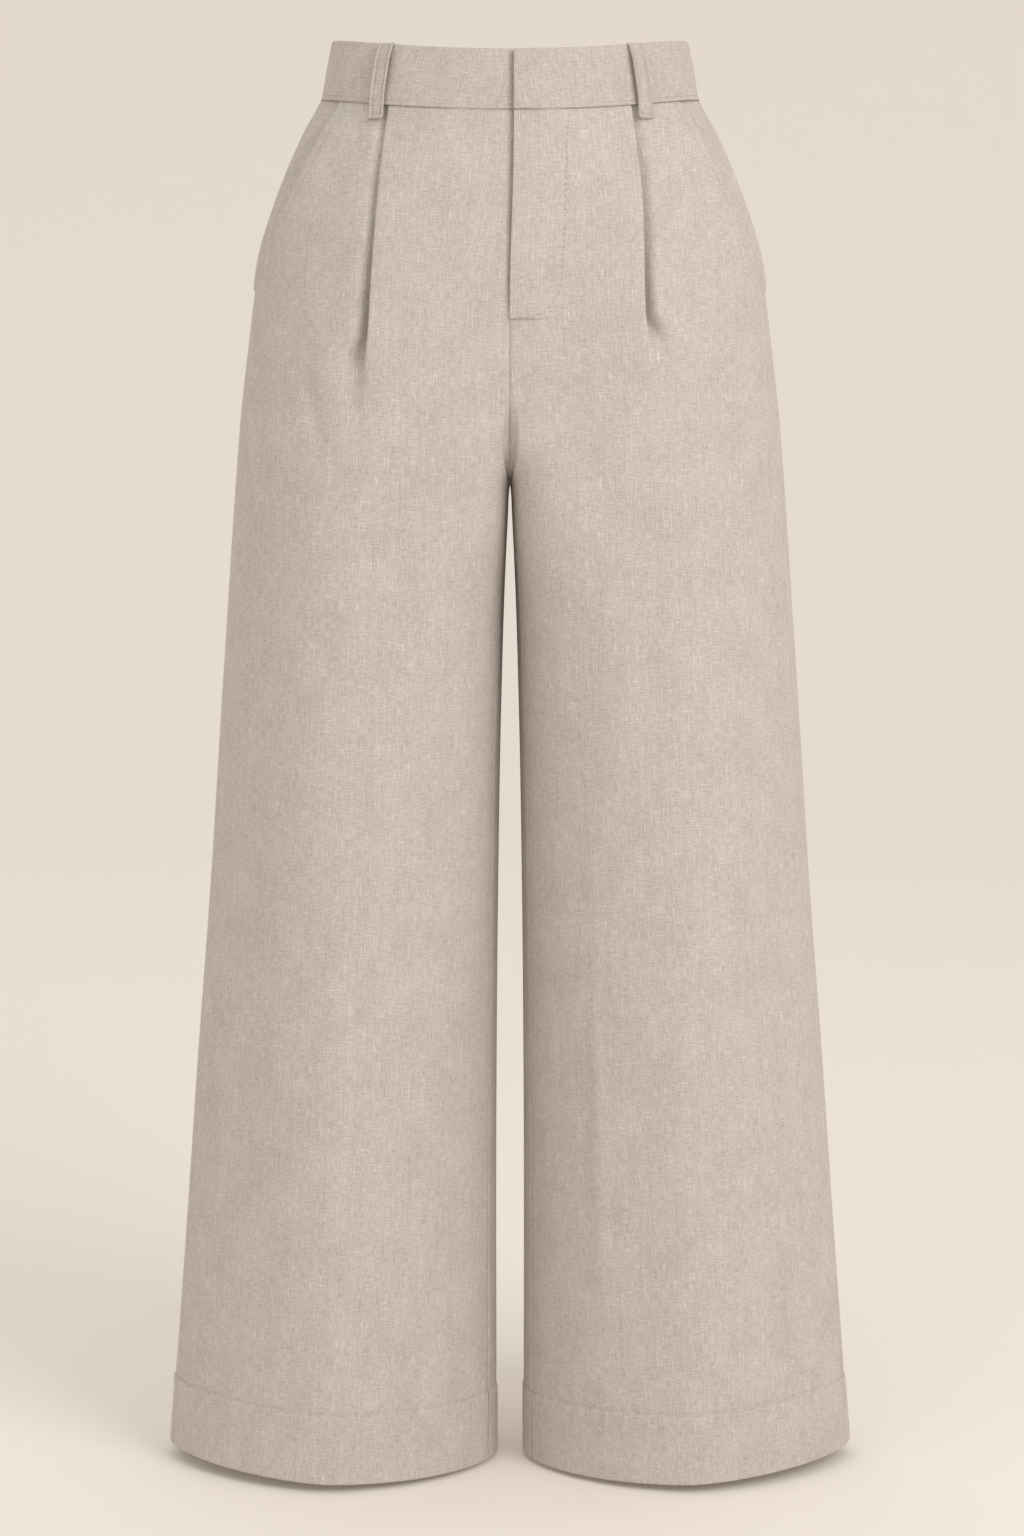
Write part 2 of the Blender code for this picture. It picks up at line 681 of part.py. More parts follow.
def make_waistband():
    heights = (BAND_TOP,) + BAND_HEIGHTS + (BAND_SEAM + HALF_GAP,)
    for name, laps in (("waistband_front_left", False), ("waistband_front_right", True)):
        rows = [band_front_row(height, laps) for height in heights]
        wall_mesh(name, rows, not laps, BAND_LINEN)
    wall_mesh("waistband_back", [band_back_row(height) for height in heights], False, BAND_LINEN)


def make_belt_loops():
    for loop in table_rows(BELT_LOOPS):
        wall_mesh(loop["name"], loop_rows(loop), loop["mirror"], BAND_LINEN)


def clear_scene():
    for obj in list(bpy.data.objects):
        bpy.data.objects.remove(obj, do_unlink=True)


clear_scene()
make_fronts()
make_backs()
make_pocket_sides()
make_waistband()
make_belt_loops()
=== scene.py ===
# High-waisted wide-leg linen trousers, filled out as if worn, in a plain pale studio.
# Metres, +Z up, front towards -Y. left and right are as seen by someone facing the front.
import math

import bmesh
import bpy
import numpy as np
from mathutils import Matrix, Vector


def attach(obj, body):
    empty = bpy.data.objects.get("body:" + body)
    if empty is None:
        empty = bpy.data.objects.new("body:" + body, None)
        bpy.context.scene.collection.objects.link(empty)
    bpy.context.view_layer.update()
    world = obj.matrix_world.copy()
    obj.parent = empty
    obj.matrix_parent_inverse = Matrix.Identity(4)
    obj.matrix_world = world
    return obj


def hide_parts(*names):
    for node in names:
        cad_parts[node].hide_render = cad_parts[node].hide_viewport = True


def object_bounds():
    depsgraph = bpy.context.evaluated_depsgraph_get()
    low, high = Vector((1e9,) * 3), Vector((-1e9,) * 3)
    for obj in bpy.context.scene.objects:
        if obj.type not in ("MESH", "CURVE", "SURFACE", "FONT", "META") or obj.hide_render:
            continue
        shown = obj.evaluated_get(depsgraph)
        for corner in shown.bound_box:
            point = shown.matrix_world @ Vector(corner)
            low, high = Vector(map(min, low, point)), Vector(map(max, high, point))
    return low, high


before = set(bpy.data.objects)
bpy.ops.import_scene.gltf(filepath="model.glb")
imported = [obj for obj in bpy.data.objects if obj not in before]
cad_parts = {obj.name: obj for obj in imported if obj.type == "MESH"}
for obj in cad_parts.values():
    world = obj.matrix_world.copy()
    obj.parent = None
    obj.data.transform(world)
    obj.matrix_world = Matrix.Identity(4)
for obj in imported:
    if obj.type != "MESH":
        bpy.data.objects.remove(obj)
cadBox = [list(corner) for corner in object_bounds()]
print("frame loaded:", len(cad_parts), "nodes")


def addObject(name, data):
    item = bpy.data.objects.new(name, data)
    bpy.context.scene.collection.objects.link(item)
    return item


# The rows of a table, each by its named columns.
def tableRows(table):
    return [dict(zip(table[0], row)) for row in table[1:]]


# The camera stands a little above the middle and looks slightly down, as in the photograph.
shot = {
    "place": (0.0015, -2.6, -0.169),
    "down": 7.67,  # degrees
    "lens": 81.0,
    "sensor": 36.0,
}


def makeCamera():
    camera = addObject("camera", bpy.data.cameras.new("camera"))
    camera.data.lens = shot["lens"]
    camera.data.sensor_width = shot["sensor"]
    camera.location = shot["place"]
    camera.rotation_euler = (math.radians(90.0 - shot["down"]), 0.0, 0.0)
    bpy.context.scene.camera = camera


makeCamera()
print("camera made")


# sRGB hex to linear, with alpha.
def hexColour(code):
    linear = []
    for place in (1, 3, 5):
        part = int(code[place : place + 2], 16) / 255
        linear.append(part / 12.92 if part <= 0.04045 else ((part + 0.055) / 1.055) ** 2.4)
    return (*linear, 1.0)


# One node with its settings. A socket given as an input is linked, anything else is set.
def addNode(tree, kind, inputs=None, **settings):
    node = tree.nodes.new(kind)
    for name, value in settings.items():
        setattr(node, name, value)
    for name, value in (inputs or {}).items():
        if isinstance(value, bpy.types.NodeSocket):
            tree.links.new(value, node.inputs[name])
        else:
            node.inputs[name].default_value = value
    return node


# A material with these sockets of its surface set.
def newMaterial(name, sockets):
    material = bpy.data.materials.new(name)
    material.use_nodes = True
    surface = material.node_tree.nodes["Principled BSDF"]
    for socket, value in sockets.items():
        surface.inputs[socket].default_value = value
    return material, material.node_tree, surface


# Stage and light

stage = {
    "paper": "#dbd6d1",
    # painted light: the paper's own glow, which lightens the shadows on it
    "paintedGlow": "#e6d2bd",
    "paintedGlowStrength": 0.17,
    "gap": 0.0022,
    "flatRings": (0.0, 0.4, 0.8, 1.6, 2.5, 3.4),
    "wall": 7.0,
    "rise": 4.6,
    "rings": 40,
    "turns": 96,
}
lamps = {
    # place, what it looks at, size in metres, watts, colour
    "key": ((2.6, -2.9, 1.5), (0.0, 0.0, -0.55), 2.2, 91.0, "#fffefc"),
    "fill": ((-2.8, -3.2, 0.5), (0.0, 0.0, -0.60), 3.0, 26.0, "#ffffff"),
    "rear": ((-1.8, 3.4, 2.5), (0.0, 0.0, -0.45), 2.4, 8.0, "#fffdfa"),
    "sky": "#fffefd",
    "skyStrength": 0.84,
}


# A matte paper bowl, flat in the middle and swept up all round, to stand behind every view.
def makeStage():
    floor = cadBox[0][2] - stage["gap"]
    radii = list(stage["flatRings"])
    heights = [floor] * len(radii)
    flat = radii[-1]
    for step in range(1, stage["rings"] + 1):
        angle = math.pi / 2 * step / stage["rings"]
        radii.append(flat + (stage["wall"] - flat) * math.sin(angle))
        heights.append(floor + stage["rise"] * (1.0 - math.cos(angle)))
    points = [(0.0, 0.0, floor)]
    for radius, height in zip(radii[1:], heights[1:]):
        for turn in range(stage["turns"]):
            angle = 2 * math.pi * turn / stage["turns"]
            points.append((radius * math.cos(angle), radius * math.sin(angle), height))
    faces = []
    for turn in range(stage["turns"]):
        following = (turn + 1) % stage["turns"]
        faces.append((0, 1 + turn, 1 + following))
        for ring in range(len(radii) - 2):
            low = 1 + ring * stage["turns"]
            high = low + stage["turns"]
            faces.append((low + turn, high + turn, high + following, low + following))
    mesh = bpy.data.meshes.new("studio paper")
    mesh.from_pydata(points, [], faces)
    mesh.shade_smooth()
    mesh.materials.append(mattePaper())
    addObject("studio paper", mesh)


def mattePaper():
    # Studio background paper: an even matt sheet. It glows a little of itself: painted light that
    # keeps the shadows on it pale and warm.
    sockets = {
        "Base Color": hexColour(stage["paper"]),
        "Emission Color": hexColour(stage["paintedGlow"]),
        "Emission Strength": stage["paintedGlowStrength"],
        "Roughness": 0.95,
        "Specular IOR Level": 0.1,
    }
    return newMaterial("studio background paper", sockets)[0]


def makeLights():
    world = bpy.data.worlds.new("studio light")
    world.use_nodes = True
    sky = world.node_tree.nodes["Background"]
    sky.inputs["Color"].default_value = hexColour(lamps["sky"])
    sky.inputs["Strength"].default_value = lamps["skyStrength"]
    bpy.context.scene.world = world
    for name in ("key", "fill", "rear"):
        place, target, size, watts, colour = lamps[name]
        lamp = bpy.data.lights.new(name, "AREA")
        lamp.shape = "SQUARE"
        lamp.size = size
        lamp.energy = watts
        lamp.color = hexColour(colour)[:3]
        holder = addObject(name, lamp)
        holder.location = place
        holder.rotation_euler = (Vector(target) - Vector(place)).to_track_quat("-Z", "Y").to_euler()
    bpy.context.scene.view_settings.view_transform = "Standard"


makeStage()
makeLights()
print("stage and lights made")


# Cloth materials

linen = {
    "darkYarn": "#958c83",
    "lightYarn": "#d2cbc6",
    "middle": 0.50,
    "bandDarker": 0.04,
    "roughness": 0.88,
    "specular": 0.25,
    "sheen": 0.12,
    "sheenRoughness": 0.5,
    "sheenTint": "#efe6dc",
    "relief": 0.00016,
    # Yarns wander a little, so the lines across the cloth are never ruler straight.
    "wanderScale": 60.0,
    "wander": 0.0022,
}
# Patterns of the weave: sizes in millimetres across and down the cloth, how much each moves the
# tone, the range of noise it takes, and whether it is raised. The real yarns are about 0.5 mm
# apart, too fine to show, so they are drawn twice as coarse.
weave = (
    ("across", "down", "tone", "low", "high", "detail", "least", "raised"),
    (1.0, 1.0, 0.17, 0.200, 0.80, 1.0, -1.0, True),  # broken grain
    (0.85, 7.0, 0.10, 0.200, 0.80, 0.0, -1.0, True),  # warp
    (7.0, 0.85, 0.10, 0.200, 0.80, 0.0, -1.0, True),  # weft
    (1.1, 15.0, 0.22, 0.705, 0.86, 0.0, 0.0, True),  # slubs in the warp
    (12.0, 1.0, 0.17, 0.705, 0.86, 0.0, 0.0, True),  # slubs in the weft
    (1.2, 1.5, -0.40, 0.850, 0.90, 0.0, 0.0, False),  # flecks of straw
    (26.0, 34.0, 0.055, 0.250, 0.75, 2.0, -1.0, False),  # cloudy patches
    (2.2, 70.0, 0.045, 0.250, 0.75, 1.0, -1.0, False),  # long faint streaks
)


# The surface runs from the dark colour to the light one as the tone goes from 0 to 1.
def colourBy(tree, surface, tone, dark, light):
    # Sockets 6 and 7 are the two colours of a colour mix, and output 2 is its result.
    colours = {0: tone, 6: hexColour(dark), 7: hexColour(light)}
    mixed = addNode(tree, "ShaderNodeMix", colours, data_type="RGBA")
    tree.links.new(mixed.outputs[2], surface.inputs["Base Color"])


def makeLinen(name, darker=0.0):
    # Natural linen, plain woven from uneven flax yarns and not dyed: matt and dry, with a fine
    # broken grain, a few pale slubs both ways, the odd dark fleck of straw, and a soft bloom.
    sockets = {
        "Roughness": linen["roughness"],
        "Specular IOR Level": linen["specular"],
        "Sheen Weight": linen["sheen"],
        "Sheen Roughness": linen["sheenRoughness"],
        "Sheen Tint": hexColour(linen["sheenTint"]),
    }
    material, tree, surface = newMaterial(name, sockets)
    grain = addNode(tree, "ShaderNodeUVMap", uv_map="grain").outputs[0]
    inputs = {"Vector": grain, "Scale": linen["wanderScale"], "Detail": 1.0}
    drift = addNode(tree, "ShaderNodeTexNoise", inputs, noise_dimensions="2D")
    inputs = {0: drift.outputs["Color"], "Scale": linen["wander"]}
    bend = addNode(tree, "ShaderNodeVectorMath", inputs, operation="SCALE")
    yarns = addNode(tree, "ShaderNodeVectorMath", {0: grain, 1: bend.outputs[0]}, operation="ADD")
    totals = {True: 0.0, False: linen["middle"] - darker}
    for pattern in tableRows(weave):
        scale = (1000.0 / pattern["across"], 1000.0 / pattern["down"], 1.0)
        place = addNode(tree, "ShaderNodeMapping", {"Vector": yarns.outputs[0], "Scale": scale})
        inputs = {"Vector": place.outputs[0], "Scale": 1.0, "Detail": pattern["detail"]}
        noise = addNode(tree, "ShaderNodeTexNoise", inputs, noise_dimensions="2D")
        inputs = {"From Min": pattern["low"], "From Max": pattern["high"]}
        inputs |= {"To Min": pattern["least"] * pattern["tone"], "To Max": pattern["tone"]}
        tone = addNode(tree, "ShaderNodeMapRange", {"Value": noise.outputs["Fac"]} | inputs)
        inputs = {0: tone.outputs[0], 1: totals[pattern["raised"]]}
        total = addNode(tree, "ShaderNodeMath", inputs, operation="ADD")
        totals[pattern["raised"]] = total.outputs[0]
    tone = addNode(tree, "ShaderNodeMath", {0: totals[True], 1: totals[False]}, operation="ADD")
    colourBy(tree, surface, tone.outputs[0], linen["darkYarn"], linen["lightYarn"])
    inputs = {"Height": totals[True], "Strength": 1.0, "Distance": linen["relief"]}
    relief = addNode(tree, "ShaderNodeBump", inputs)
    tree.links.new(relief.outputs[0], surface.inputs["Normal"])
    return material


thread = {"light": "#cfc5ba", "dark": "#bdb2a6", "scale": 900.0, "detail": 1.0, "range": (0.3, 0.7)}
# The needle holes' colours: dark browns that paint in the shade of each small dip.
holeShade = {"light": "#978a7c", "dark": "#7a6d60", "scale": 300.0, "detail": 2.0, "range": (0.0, 1.0)}


# Two near colours, mixed by a fine noise through the piece.
def makeMottled(name, look, sockets):
    material, tree, surface = newMaterial(name, sockets)
    place = addNode(tree, "ShaderNodeTexCoord").outputs["Object"]
    inputs = {"Vector": place, "Scale": look["scale"], "Detail": look["detail"]}
    noise = addNode(tree, "ShaderNodeTexNoise", inputs).outputs["Fac"]
    inputs = {"Value": noise, "From Min": look["range"][0], "From Max": look["range"][1]}
    tone = addNode(tree, "ShaderNodeMapRange", inputs)
    colourBy(tree, surface, tone.outputs[0], look["dark"], look["light"])
    return material


cloths = {
    "linen": makeLinen("undyed linen plain weave"),
    "band_linen": makeLinen("undyed linen doubled and pressed", linen["bandDarker"]),
}
# Spun polyester sewing thread, matched to the cloth: a touch paler and smoother than it.
sewingThread = makeMottled("sewing thread", thread, {"Roughness": 0.7, "Sheen Weight": 0.2})
# The pricked cloth between two stitches: a small dip, its shade painted in dark, with no shine.
pricked = {"Roughness": 1.0, "Specular IOR Level": 0.0}
needleHoleShade = makeMottled("needle hole in linen", holeShade, pricked)
print("materials made")


# The form of the trousers. The tables and sizes are those of the solids, so each shell lies on its
# own solid. Everything is worked out for the viewer's right side, and mirrored for the left.

seamGap = 0.0003
halfGap = seamGap / 2

form = {
    "crotch": -0.3030,
    "dip": 0.0110,  # how much lower the waist is at the front
    "dipEnd": -0.2000,
    "hemTilt": 0.0335,
    "tiltStart": -0.5000,
    "tiltEnd": -0.9500,
    "samples": 361,
    "closeReach": 0.0035,  # how far from the middle seam the cloth is drawn up to it
    "touchFrom": -0.2400,
    "touchFade": 0.0200,
    "foldsTop": -0.1600,
    "innerCalm": 0.0140,  # folds die out this near the inner leg
}
bodyTable = (
    ("height", "side", "front", "back", "crest"),
    (0.0215, 0.1308, 0.0935, 0.0945, 0.0040),
    (0.0000, 0.1350, 0.0960, 0.0980, 0.0060),
    (-0.0215, 0.1396, 0.0985, 0.1020, 0.0090),
    (-0.0420, 0.1496, 0.1010, 0.1075, 0.0160),
    (-0.0715, 0.1632, 0.1045, 0.1145, 0.0270),
    (-0.1010, 0.1746, 0.1080, 0.1200, 0.0380),
    (-0.1300, 0.1838, 0.1105, 0.1240, 0.0480),
    (-0.1600, 0.1895, 0.1120, 0.1260, 0.0580),
    (-0.2040, 0.1953, 0.1130, 0.1255, 0.0710),
    (-0.2490, 0.2008, 0.1130, 0.1225, 0.0830),
    (-0.3000, 0.2053, 0.1120, 0.1180, 0.0940),
    (-0.3760, 0.2112, 0.1095, 0.1120, 0.1040),
    (-0.4670, 0.2180, 0.1065, 0.1070, 0.1110),
    (-0.6050, 0.2280, 0.1025, 0.1025, 0.1180),
    (-0.7450, 0.2396, 0.0995, 0.0995, 0.1245),
    (-0.8870, 0.2506, 0.0975, 0.0975, 0.1305),
    (-1.0550, 0.2645, 0.0955, 0.0955, 0.1375),
)
# How deep the cloth has sunk at the middle seam: 0 is level with the crest, 1 is the crotch.
closingTable = (
    ("height", "share"),
    (-0.1000, 0.0001),
    (-0.1600, 0.0100),
    (-0.2000, 0.0400),
    (-0.2300, 0.0730),
    (-0.2500, 0.1360),
    (-0.2680, 0.2900),
    (-0.2800, 0.5000),
    (-0.2900, 0.7700),
    (-0.2975, 0.9660),
    (-0.3010, 0.9980),
    (-0.3030, 1.0000),
)
legTable = (
    ("height", "inner", "outseamTurn", "inseamTurn", "outerFullness", "innerFullness"),
    (-0.2000, 0.00015, 0.0, 0.0, 2.00, 2.00),
    (-0.2300, 0.00015, 0.2, 0.0, 1.99, 2.50),
    (-0.2500, 0.00015, 0.4, 0.0, 1.98, 3.40),
    (-0.2800, 0.00015, 0.7, 0.0, 1.97, 5.00),
    (-0.3030, 0.00015, 1.0, 0.0, 1.96, 5.60),
    (-0.3085, 0.00070, 1.1, 2.0, 1.96, 5.55),
    (-0.3235, 0.00140, 1.5, 7.0, 1.94, 5.20),
    (-0.3760, 0.00380, 3.0, 18.5, 1.90, 3.40),
    (-0.4670, 0.00650, 5.0, 18.5, 1.83, 2.60),
    (-0.6050, 0.00890, 8.0, 17.5, 1.74, 2.15),
    (-0.7450, 0.01010, 10.0, 17.3, 1.67, 1.90),
    (-1.0550, 0.01040, 11.5, 17.5, 1.55, 1.72),
)


def smooth(value):
    value = np.clip(value, 0.0, 1.0)
    return value * value * (3.0 - 2.0 * value)


# 1 at 0, falling smoothly to 0 at reach on either side.
def hump(distance, reach):
    return smooth(1.0 - np.abs(distance) / reach)


# One column of a table at any height, on a smooth curve through its rows.
def read(table, name, height):
    column = table[0].index(name)
    rows = sorted(table[1:])
    heights = np.array([row[0] for row in rows])
    values = np.array([row[column] for row in rows])
    height = float(np.clip(height, heights[0], heights[-1]))
    slopes = np.gradient(values, heights)
    flat = np.zeros(len(values), dtype=bool)
    flat[1:-1] = (values[1:-1] - values[:-2]) * (values[2:] - values[1:-1]) <= 0.0
    slopes[flat] = 0.0
    low = min(int(np.searchsorted(heights, height, side="right")) - 1, len(rows) - 2)
    step = heights[low + 1] - heights[low]
    share = (height - heights[low]) / step
    rise = share * share * (3.0 - 2.0 * share)
    return float(
        values[low] * (1.0 - rise)
        + values[low + 1] * rise
        + step * slopes[low] * share * (1.0 - share) ** 2
        - step * slopes[low + 1] * share * share * (1.0 - share)
    )


# The outside of one leg at one height, from its outer seam round the front or the back.
class Section:
    def __init__(self, height, part, endX=halfGap):
        self.height = height
        side = read(bodyTable, "side", height)
        front = read(bodyTable, "front", height)
        back = read(bodyTable, "back", height)
        crest = read(bodyTable, "crest", height)
        start = math.radians(read(legTable, "outseamTurn", height))
        outerFullness = read(legTable, "outerFullness", height)
        innerFullness = read(legTable, "innerFullness", height)
        if height <= form["crotch"]:
            innerReach = crest - read(legTable, "inner", height)
            end = math.pi - math.radians(read(legTable, "inseamTurn", height))
            if part == "back":
                end -= 2 * math.pi
        else:
            share = max(read(closingTable, "share", height), 0.0001)
            innerReach = crest / share ** (1.0 / innerFullness)
            reached = ((crest - endX) / innerReach) ** (innerFullness / 2.0)
            end = math.acos(-min(reached, 1.0))
            end = end if part == "front" else -end
        quarter = math.copysign(math.pi / 2, end)
        outer = np.linspace(start, quarter, form["samples"])
        angles = np.concatenate((outer, np.linspace(quarter, end, form["samples"])[1:]))
        cosine, sine = np.cos(angles), np.sin(angles)
        outside = cosine >= 0.0
        power = 2.0 / np.where(outside, outerFullness, innerFullness)
        reach = np.where(outside, side - crest, innerReach)
        depth = np.where(sine >= 0.0, front, back)
        self.frontDepth = front
        self.centre = (side + crest - innerReach) / 2 if height <= form["crotch"] else crest
        self.x = crest + reach * np.sign(cosine) * np.abs(cosine) ** power
        self.y = -depth * np.sign(sine) * np.abs(sine) ** power
        steps = np.hypot(np.diff(self.x), np.diff(self.y))
        self.along = np.concatenate(([0.0], np.cumsum(steps)))
        self.length = self.along[-1]
        if height <= form["crotch"]:
            self.length -= halfGap
        self.turn = np.degrees(angles)
        tangentX = np.gradient(self.x, self.along)
        tangentY = np.gradient(self.y, self.along)
        outward = 1.0 if part == "front" else -1.0
        self.normalX = -tangentY * outward
        self.normalY = tangentX * outward

    def atX(self, x):
        last = int(np.argmin(self.x)) + 1
        return float(np.interp(-x, -self.x[:last], self.along[:last]))

    def atTurn(self, degrees):
        return float(np.interp(degrees, self.turn, self.along))

    # Points at these distances, standing out from the section by these amounts.
    def place(self, along, out):
        x = np.interp(along, self.along, self.x)
        y = np.interp(along, self.along, self.y)
        normalX = np.interp(along, self.along, self.normalX)
        normalY = np.interp(along, self.along, self.normalY)
        return np.stack((x + normalX * out, y + normalY * out), axis=1)

    # Height of the cloth there: the waist dips to the front, and the hem is cut aslant.
    def drop(self, along):
        x = np.interp(along, self.along, self.x)
        y = np.interp(along, self.along, self.y)
        dip = form["dip"] * smooth((self.height - form["dipEnd"]) / (band["seam"] - form["dipEnd"]))
        forward = np.clip(-y / self.frontDepth, 0.0, 1.0)
        fall = form["tiltStart"] - form["tiltEnd"]
        tilt = form["hemTilt"] * smooth((form["tiltStart"] - self.height) / fall)
        return self.height - dip * forward**2 + tilt * (x - self.centre)


# Outward steps, one per point, for a wall of even thickness round the bends of a line.
def sideSteps(points):
    legs = np.diff(points, axis=0)
    legs /= np.maximum(np.linalg.norm(legs, axis=1), 1e-9)[:, None]
    square = np.stack((-legs[:, 1], legs[:, 0]), axis=1)
    before = np.vstack((square[:1], square))
    after = np.vstack((square, square[-1:]))
    return (before + after) / np.maximum(1.0 + np.sum(before * after, axis=1), 0.25)[:, None]


# One row of a cloth shell: its two faces, and how far along the cloth each point is.
class Row:
    def __init__(self, section, along, faces, normal):
        heights = section.drop(along)
        self.faces = [np.column_stack((face, heights)) for face in faces]
        travel = np.linalg.norm(np.diff(faces[0], axis=0), axis=1)
        self.cloth = np.concatenate(([0.0], np.cumsum(travel)))
        self.grain = self.cloth
        self.height = section.height
        self.along = along
        self.normal = np.column_stack((normal, np.zeros(len(along))))


# A row with its wall square to the cloth. Its last edge is drawn to closeX if that is given.
def clothRow(section, along, out, wall, outward=1.0, closeX=None):
    middle = section.place(along, out - wall / 2)
    step = sideSteps(middle) * outward
    normal = section.place(along, np.ones_like(along)) - section.place(along, np.zeros_like(along))
    step[0] = normal[0]
    step[-1] = normal[-1]
    step *= (np.broadcast_to(wall, along.shape) / 2)[:, None]
    faces = [middle + step, middle - step]
    if closeX is not None:
        near = smooth(1.0 - (along[-1] - along) / form["closeReach"])
        for face in faces:
            face[:, 0] += (closeX - face[-1, 0]) * near
            face[:, 0] = np.maximum(face[:, 0], closeX)
    return Row(section, along, faces, normal)


# Wall thickness near an edge, so that the edge of the cloth is rounded like a fold.
def roundEdge(distance, wall, radius=None, least=0.14):
    share = np.clip(distance / (radius or wall / 2), 0.0, 1.0)
    return wall * np.maximum(np.sqrt(1.0 - (1.0 - share) ** 2), least)


# How far the weave is shifted on the inside, and the angle in degrees from which an edge is sharp.
shell = {"inside": 0.31, "sharp": 60}


# A closed cloth shell from its rows, with a map of the weave in metres.
def makeShell(name, rows, material, mirror, back, shift):
    outer = np.array([row.faces[0] for row in rows])
    inner = np.array([row.faces[1] for row in rows])
    count, width = outer.shape[:2]
    size = count * width
    points = np.concatenate((outer.reshape(-1, 3), inner.reshape(-1, 3)))
    if mirror:
        points[:, 0] *= -1.0
    index = np.arange(size).reshape(count, width)
    quads = np.stack((index[:-1, :-1], index[:-1, 1:], index[1:, 1:], index[1:, :-1]), axis=-1)
    quads = quads.reshape(-1, 4)
    faces = [quads, quads[:, ::-1] + size]
    for line, way in ((index[0], 1), (index[-1], -1), (index[:, 0], -1), (index[:, -1], 1)):
        rim = np.stack((line[:-1], line[1:], line[1:] + size, line[:-1] + size), axis=-1)
        faces.append(rim[:, ::way])
    faces = np.concatenate(faces)
    if mirror != back:
        faces = faces[:, ::-1]
    mesh = bpy.data.meshes.new(name)
    mesh.from_pydata(points.tolist(), [], faces.tolist())
    grain = np.array([row.grain for row in rows])
    down = np.array([[-row.height] * width for row in rows])
    flat = np.stack((grain + shift[0], down + shift[1]), axis=-1).reshape(-1, 2)
    flat = np.concatenate((flat, flat + shell["inside"]))
    layer = mesh.uv_layers.new(name="grain")
    corners = np.empty(len(mesh.loops), dtype=np.int32)
    mesh.loops.foreach_get("vertex_index", corners)
    layer.data.foreach_set("uv", flat[corners].astype(np.float32).ravel())
    mesh.shade_smooth()
    mesh.set_sharp_from_angle(angle=math.radians(shell["sharp"]))
    mesh.materials.append(material)
    return addObject(name, mesh)


# The cloth that stands for one node, with the weave shifted so that no two are alike.
def makePiece(node, rows, slot, shift, mirror=False, back=False):
    piece = makeShell(node + "_cloth", rows, cloths[slot], mirror, back, shift)
    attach(piece, "root")
    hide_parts(node)


# Soft folds and creases. "across" is a share of the panel from its side seam to its inner edge,
# "lean" how much that changes from the fold's top to its bottom, "reach" half the width as such a
# share, and "out" is positive for a ridge and negative for a trough.
foldColumns = ("across", "lean", "top", "bottom", "reach", "out")
frontFolds = (
    foldColumns,
    (0.46, 0.00, -0.200, -1.120, 0.20, 0.0035),
    (0.20, 0.00, -0.330, -0.900, 0.13, -0.0020),
    (0.78, 0.00, -0.260, -0.720, 0.14, -0.0025),
    (0.62, 0.00, -0.560, -1.150, 0.12, -0.0015),
)
backFolds = (
    foldColumns,
    (0.48, 0.00, -0.160, -1.120, 0.18, 0.0040),
    (0.26, 0.00, -0.280, -0.980, 0.12, -0.0030),
    (0.72, 0.00, -0.240, -0.800, 0.12, -0.0035),
    (0.86, 0.00, -0.330, -1.150, 0.10, 0.0020),
)
creases = {
    "front_left": (
        foldColumns,
        (0.365, -0.02, -0.195, -0.300, 0.024, -0.0022),
        (0.430, -0.01, -0.200, -0.330, 0.040, 0.0012),
        (0.900, -0.10, -0.250, -0.330, 0.035, -0.0007),
        (0.820, -0.14, -0.285, -0.400, 0.040, 0.0006),
        (0.600, 0.06, -0.420, -0.640, 0.050, 0.0009),
        (0.300, -0.04, -0.520, -0.860, 0.040, -0.0008),
        (0.820, 0.02, -0.600, -0.980, 0.030, 0.0007),
        (0.130, 0.02, -0.700, -1.020, 0.035, 0.0007),
    ),
    "front_right": (
        foldColumns,
        (0.352, -0.04, -0.178, -0.262, 0.022, -0.0024),
        (0.400, -0.06, -0.190, -0.300, 0.028, 0.0017),
        (0.905, -0.08, -0.240, -0.320, 0.030, -0.0006),
        (0.720, -0.16, -0.270, -0.380, 0.045, 0.0006),
        (0.740, 0.02, -0.480, -1.060, 0.035, 0.0012),
        (0.860, 0.01, -0.560, -0.900, 0.030, -0.0008),
        (0.250, 0.03, -0.450, -0.760, 0.045, 0.0008),
        (0.140, 0.02, -0.640, -1.000, 0.030, -0.0007),
    ),
    "back_left": (
        foldColumns,
        (0.800, -0.22, -0.250, -0.360, 0.040, 0.0016),
        (0.720, -0.26, -0.300, -0.420, 0.045, -0.0015),
        (0.560, 0.05, -0.380, -0.620, 0.050, 0.0014),
        (0.320, -0.05, -0.480, -0.800, 0.045, -0.0012),
        (0.880, 0.02, -0.500, -0.900, 0.035, 0.0010),
        (0.150, 0.03, -0.300, -0.600, 0.040, 0.0010),
    ),
    "back_right": (
        foldColumns,
        (0.820, -0.20, -0.262, -0.380, 0.045, 0.0014),
        (0.740, -0.24, -0.320, -0.440, 0.040, -0.0016),
        (0.600, 0.04, -0.400, -0.660, 0.045, 0.0013),
        (0.380, -0.04, -0.520, -0.860, 0.050, -0.0012),
        (0.200, 0.03, -0.340, -0.620, 0.040, 0.0010),
        (0.900, 0.01, -0.560, -0.980, 0.030, 0.0009),
    ),
}
panelLengths = {}


# The length that places on a panel are shares of. It grows evenly down to the crotch.
def wholeLength(section, part):
    top, crotch = form["foldsTop"], form["crotch"]
    if section.height >= top or section.height <= crotch:
        return section.length
    if part not in panelLengths:
        panelLengths[part] = (Section(top, part).length, Section(crotch, part).length)
    above, below = panelLengths[part]
    return above + (below - above) * smooth((top - section.height) / (top - crotch))


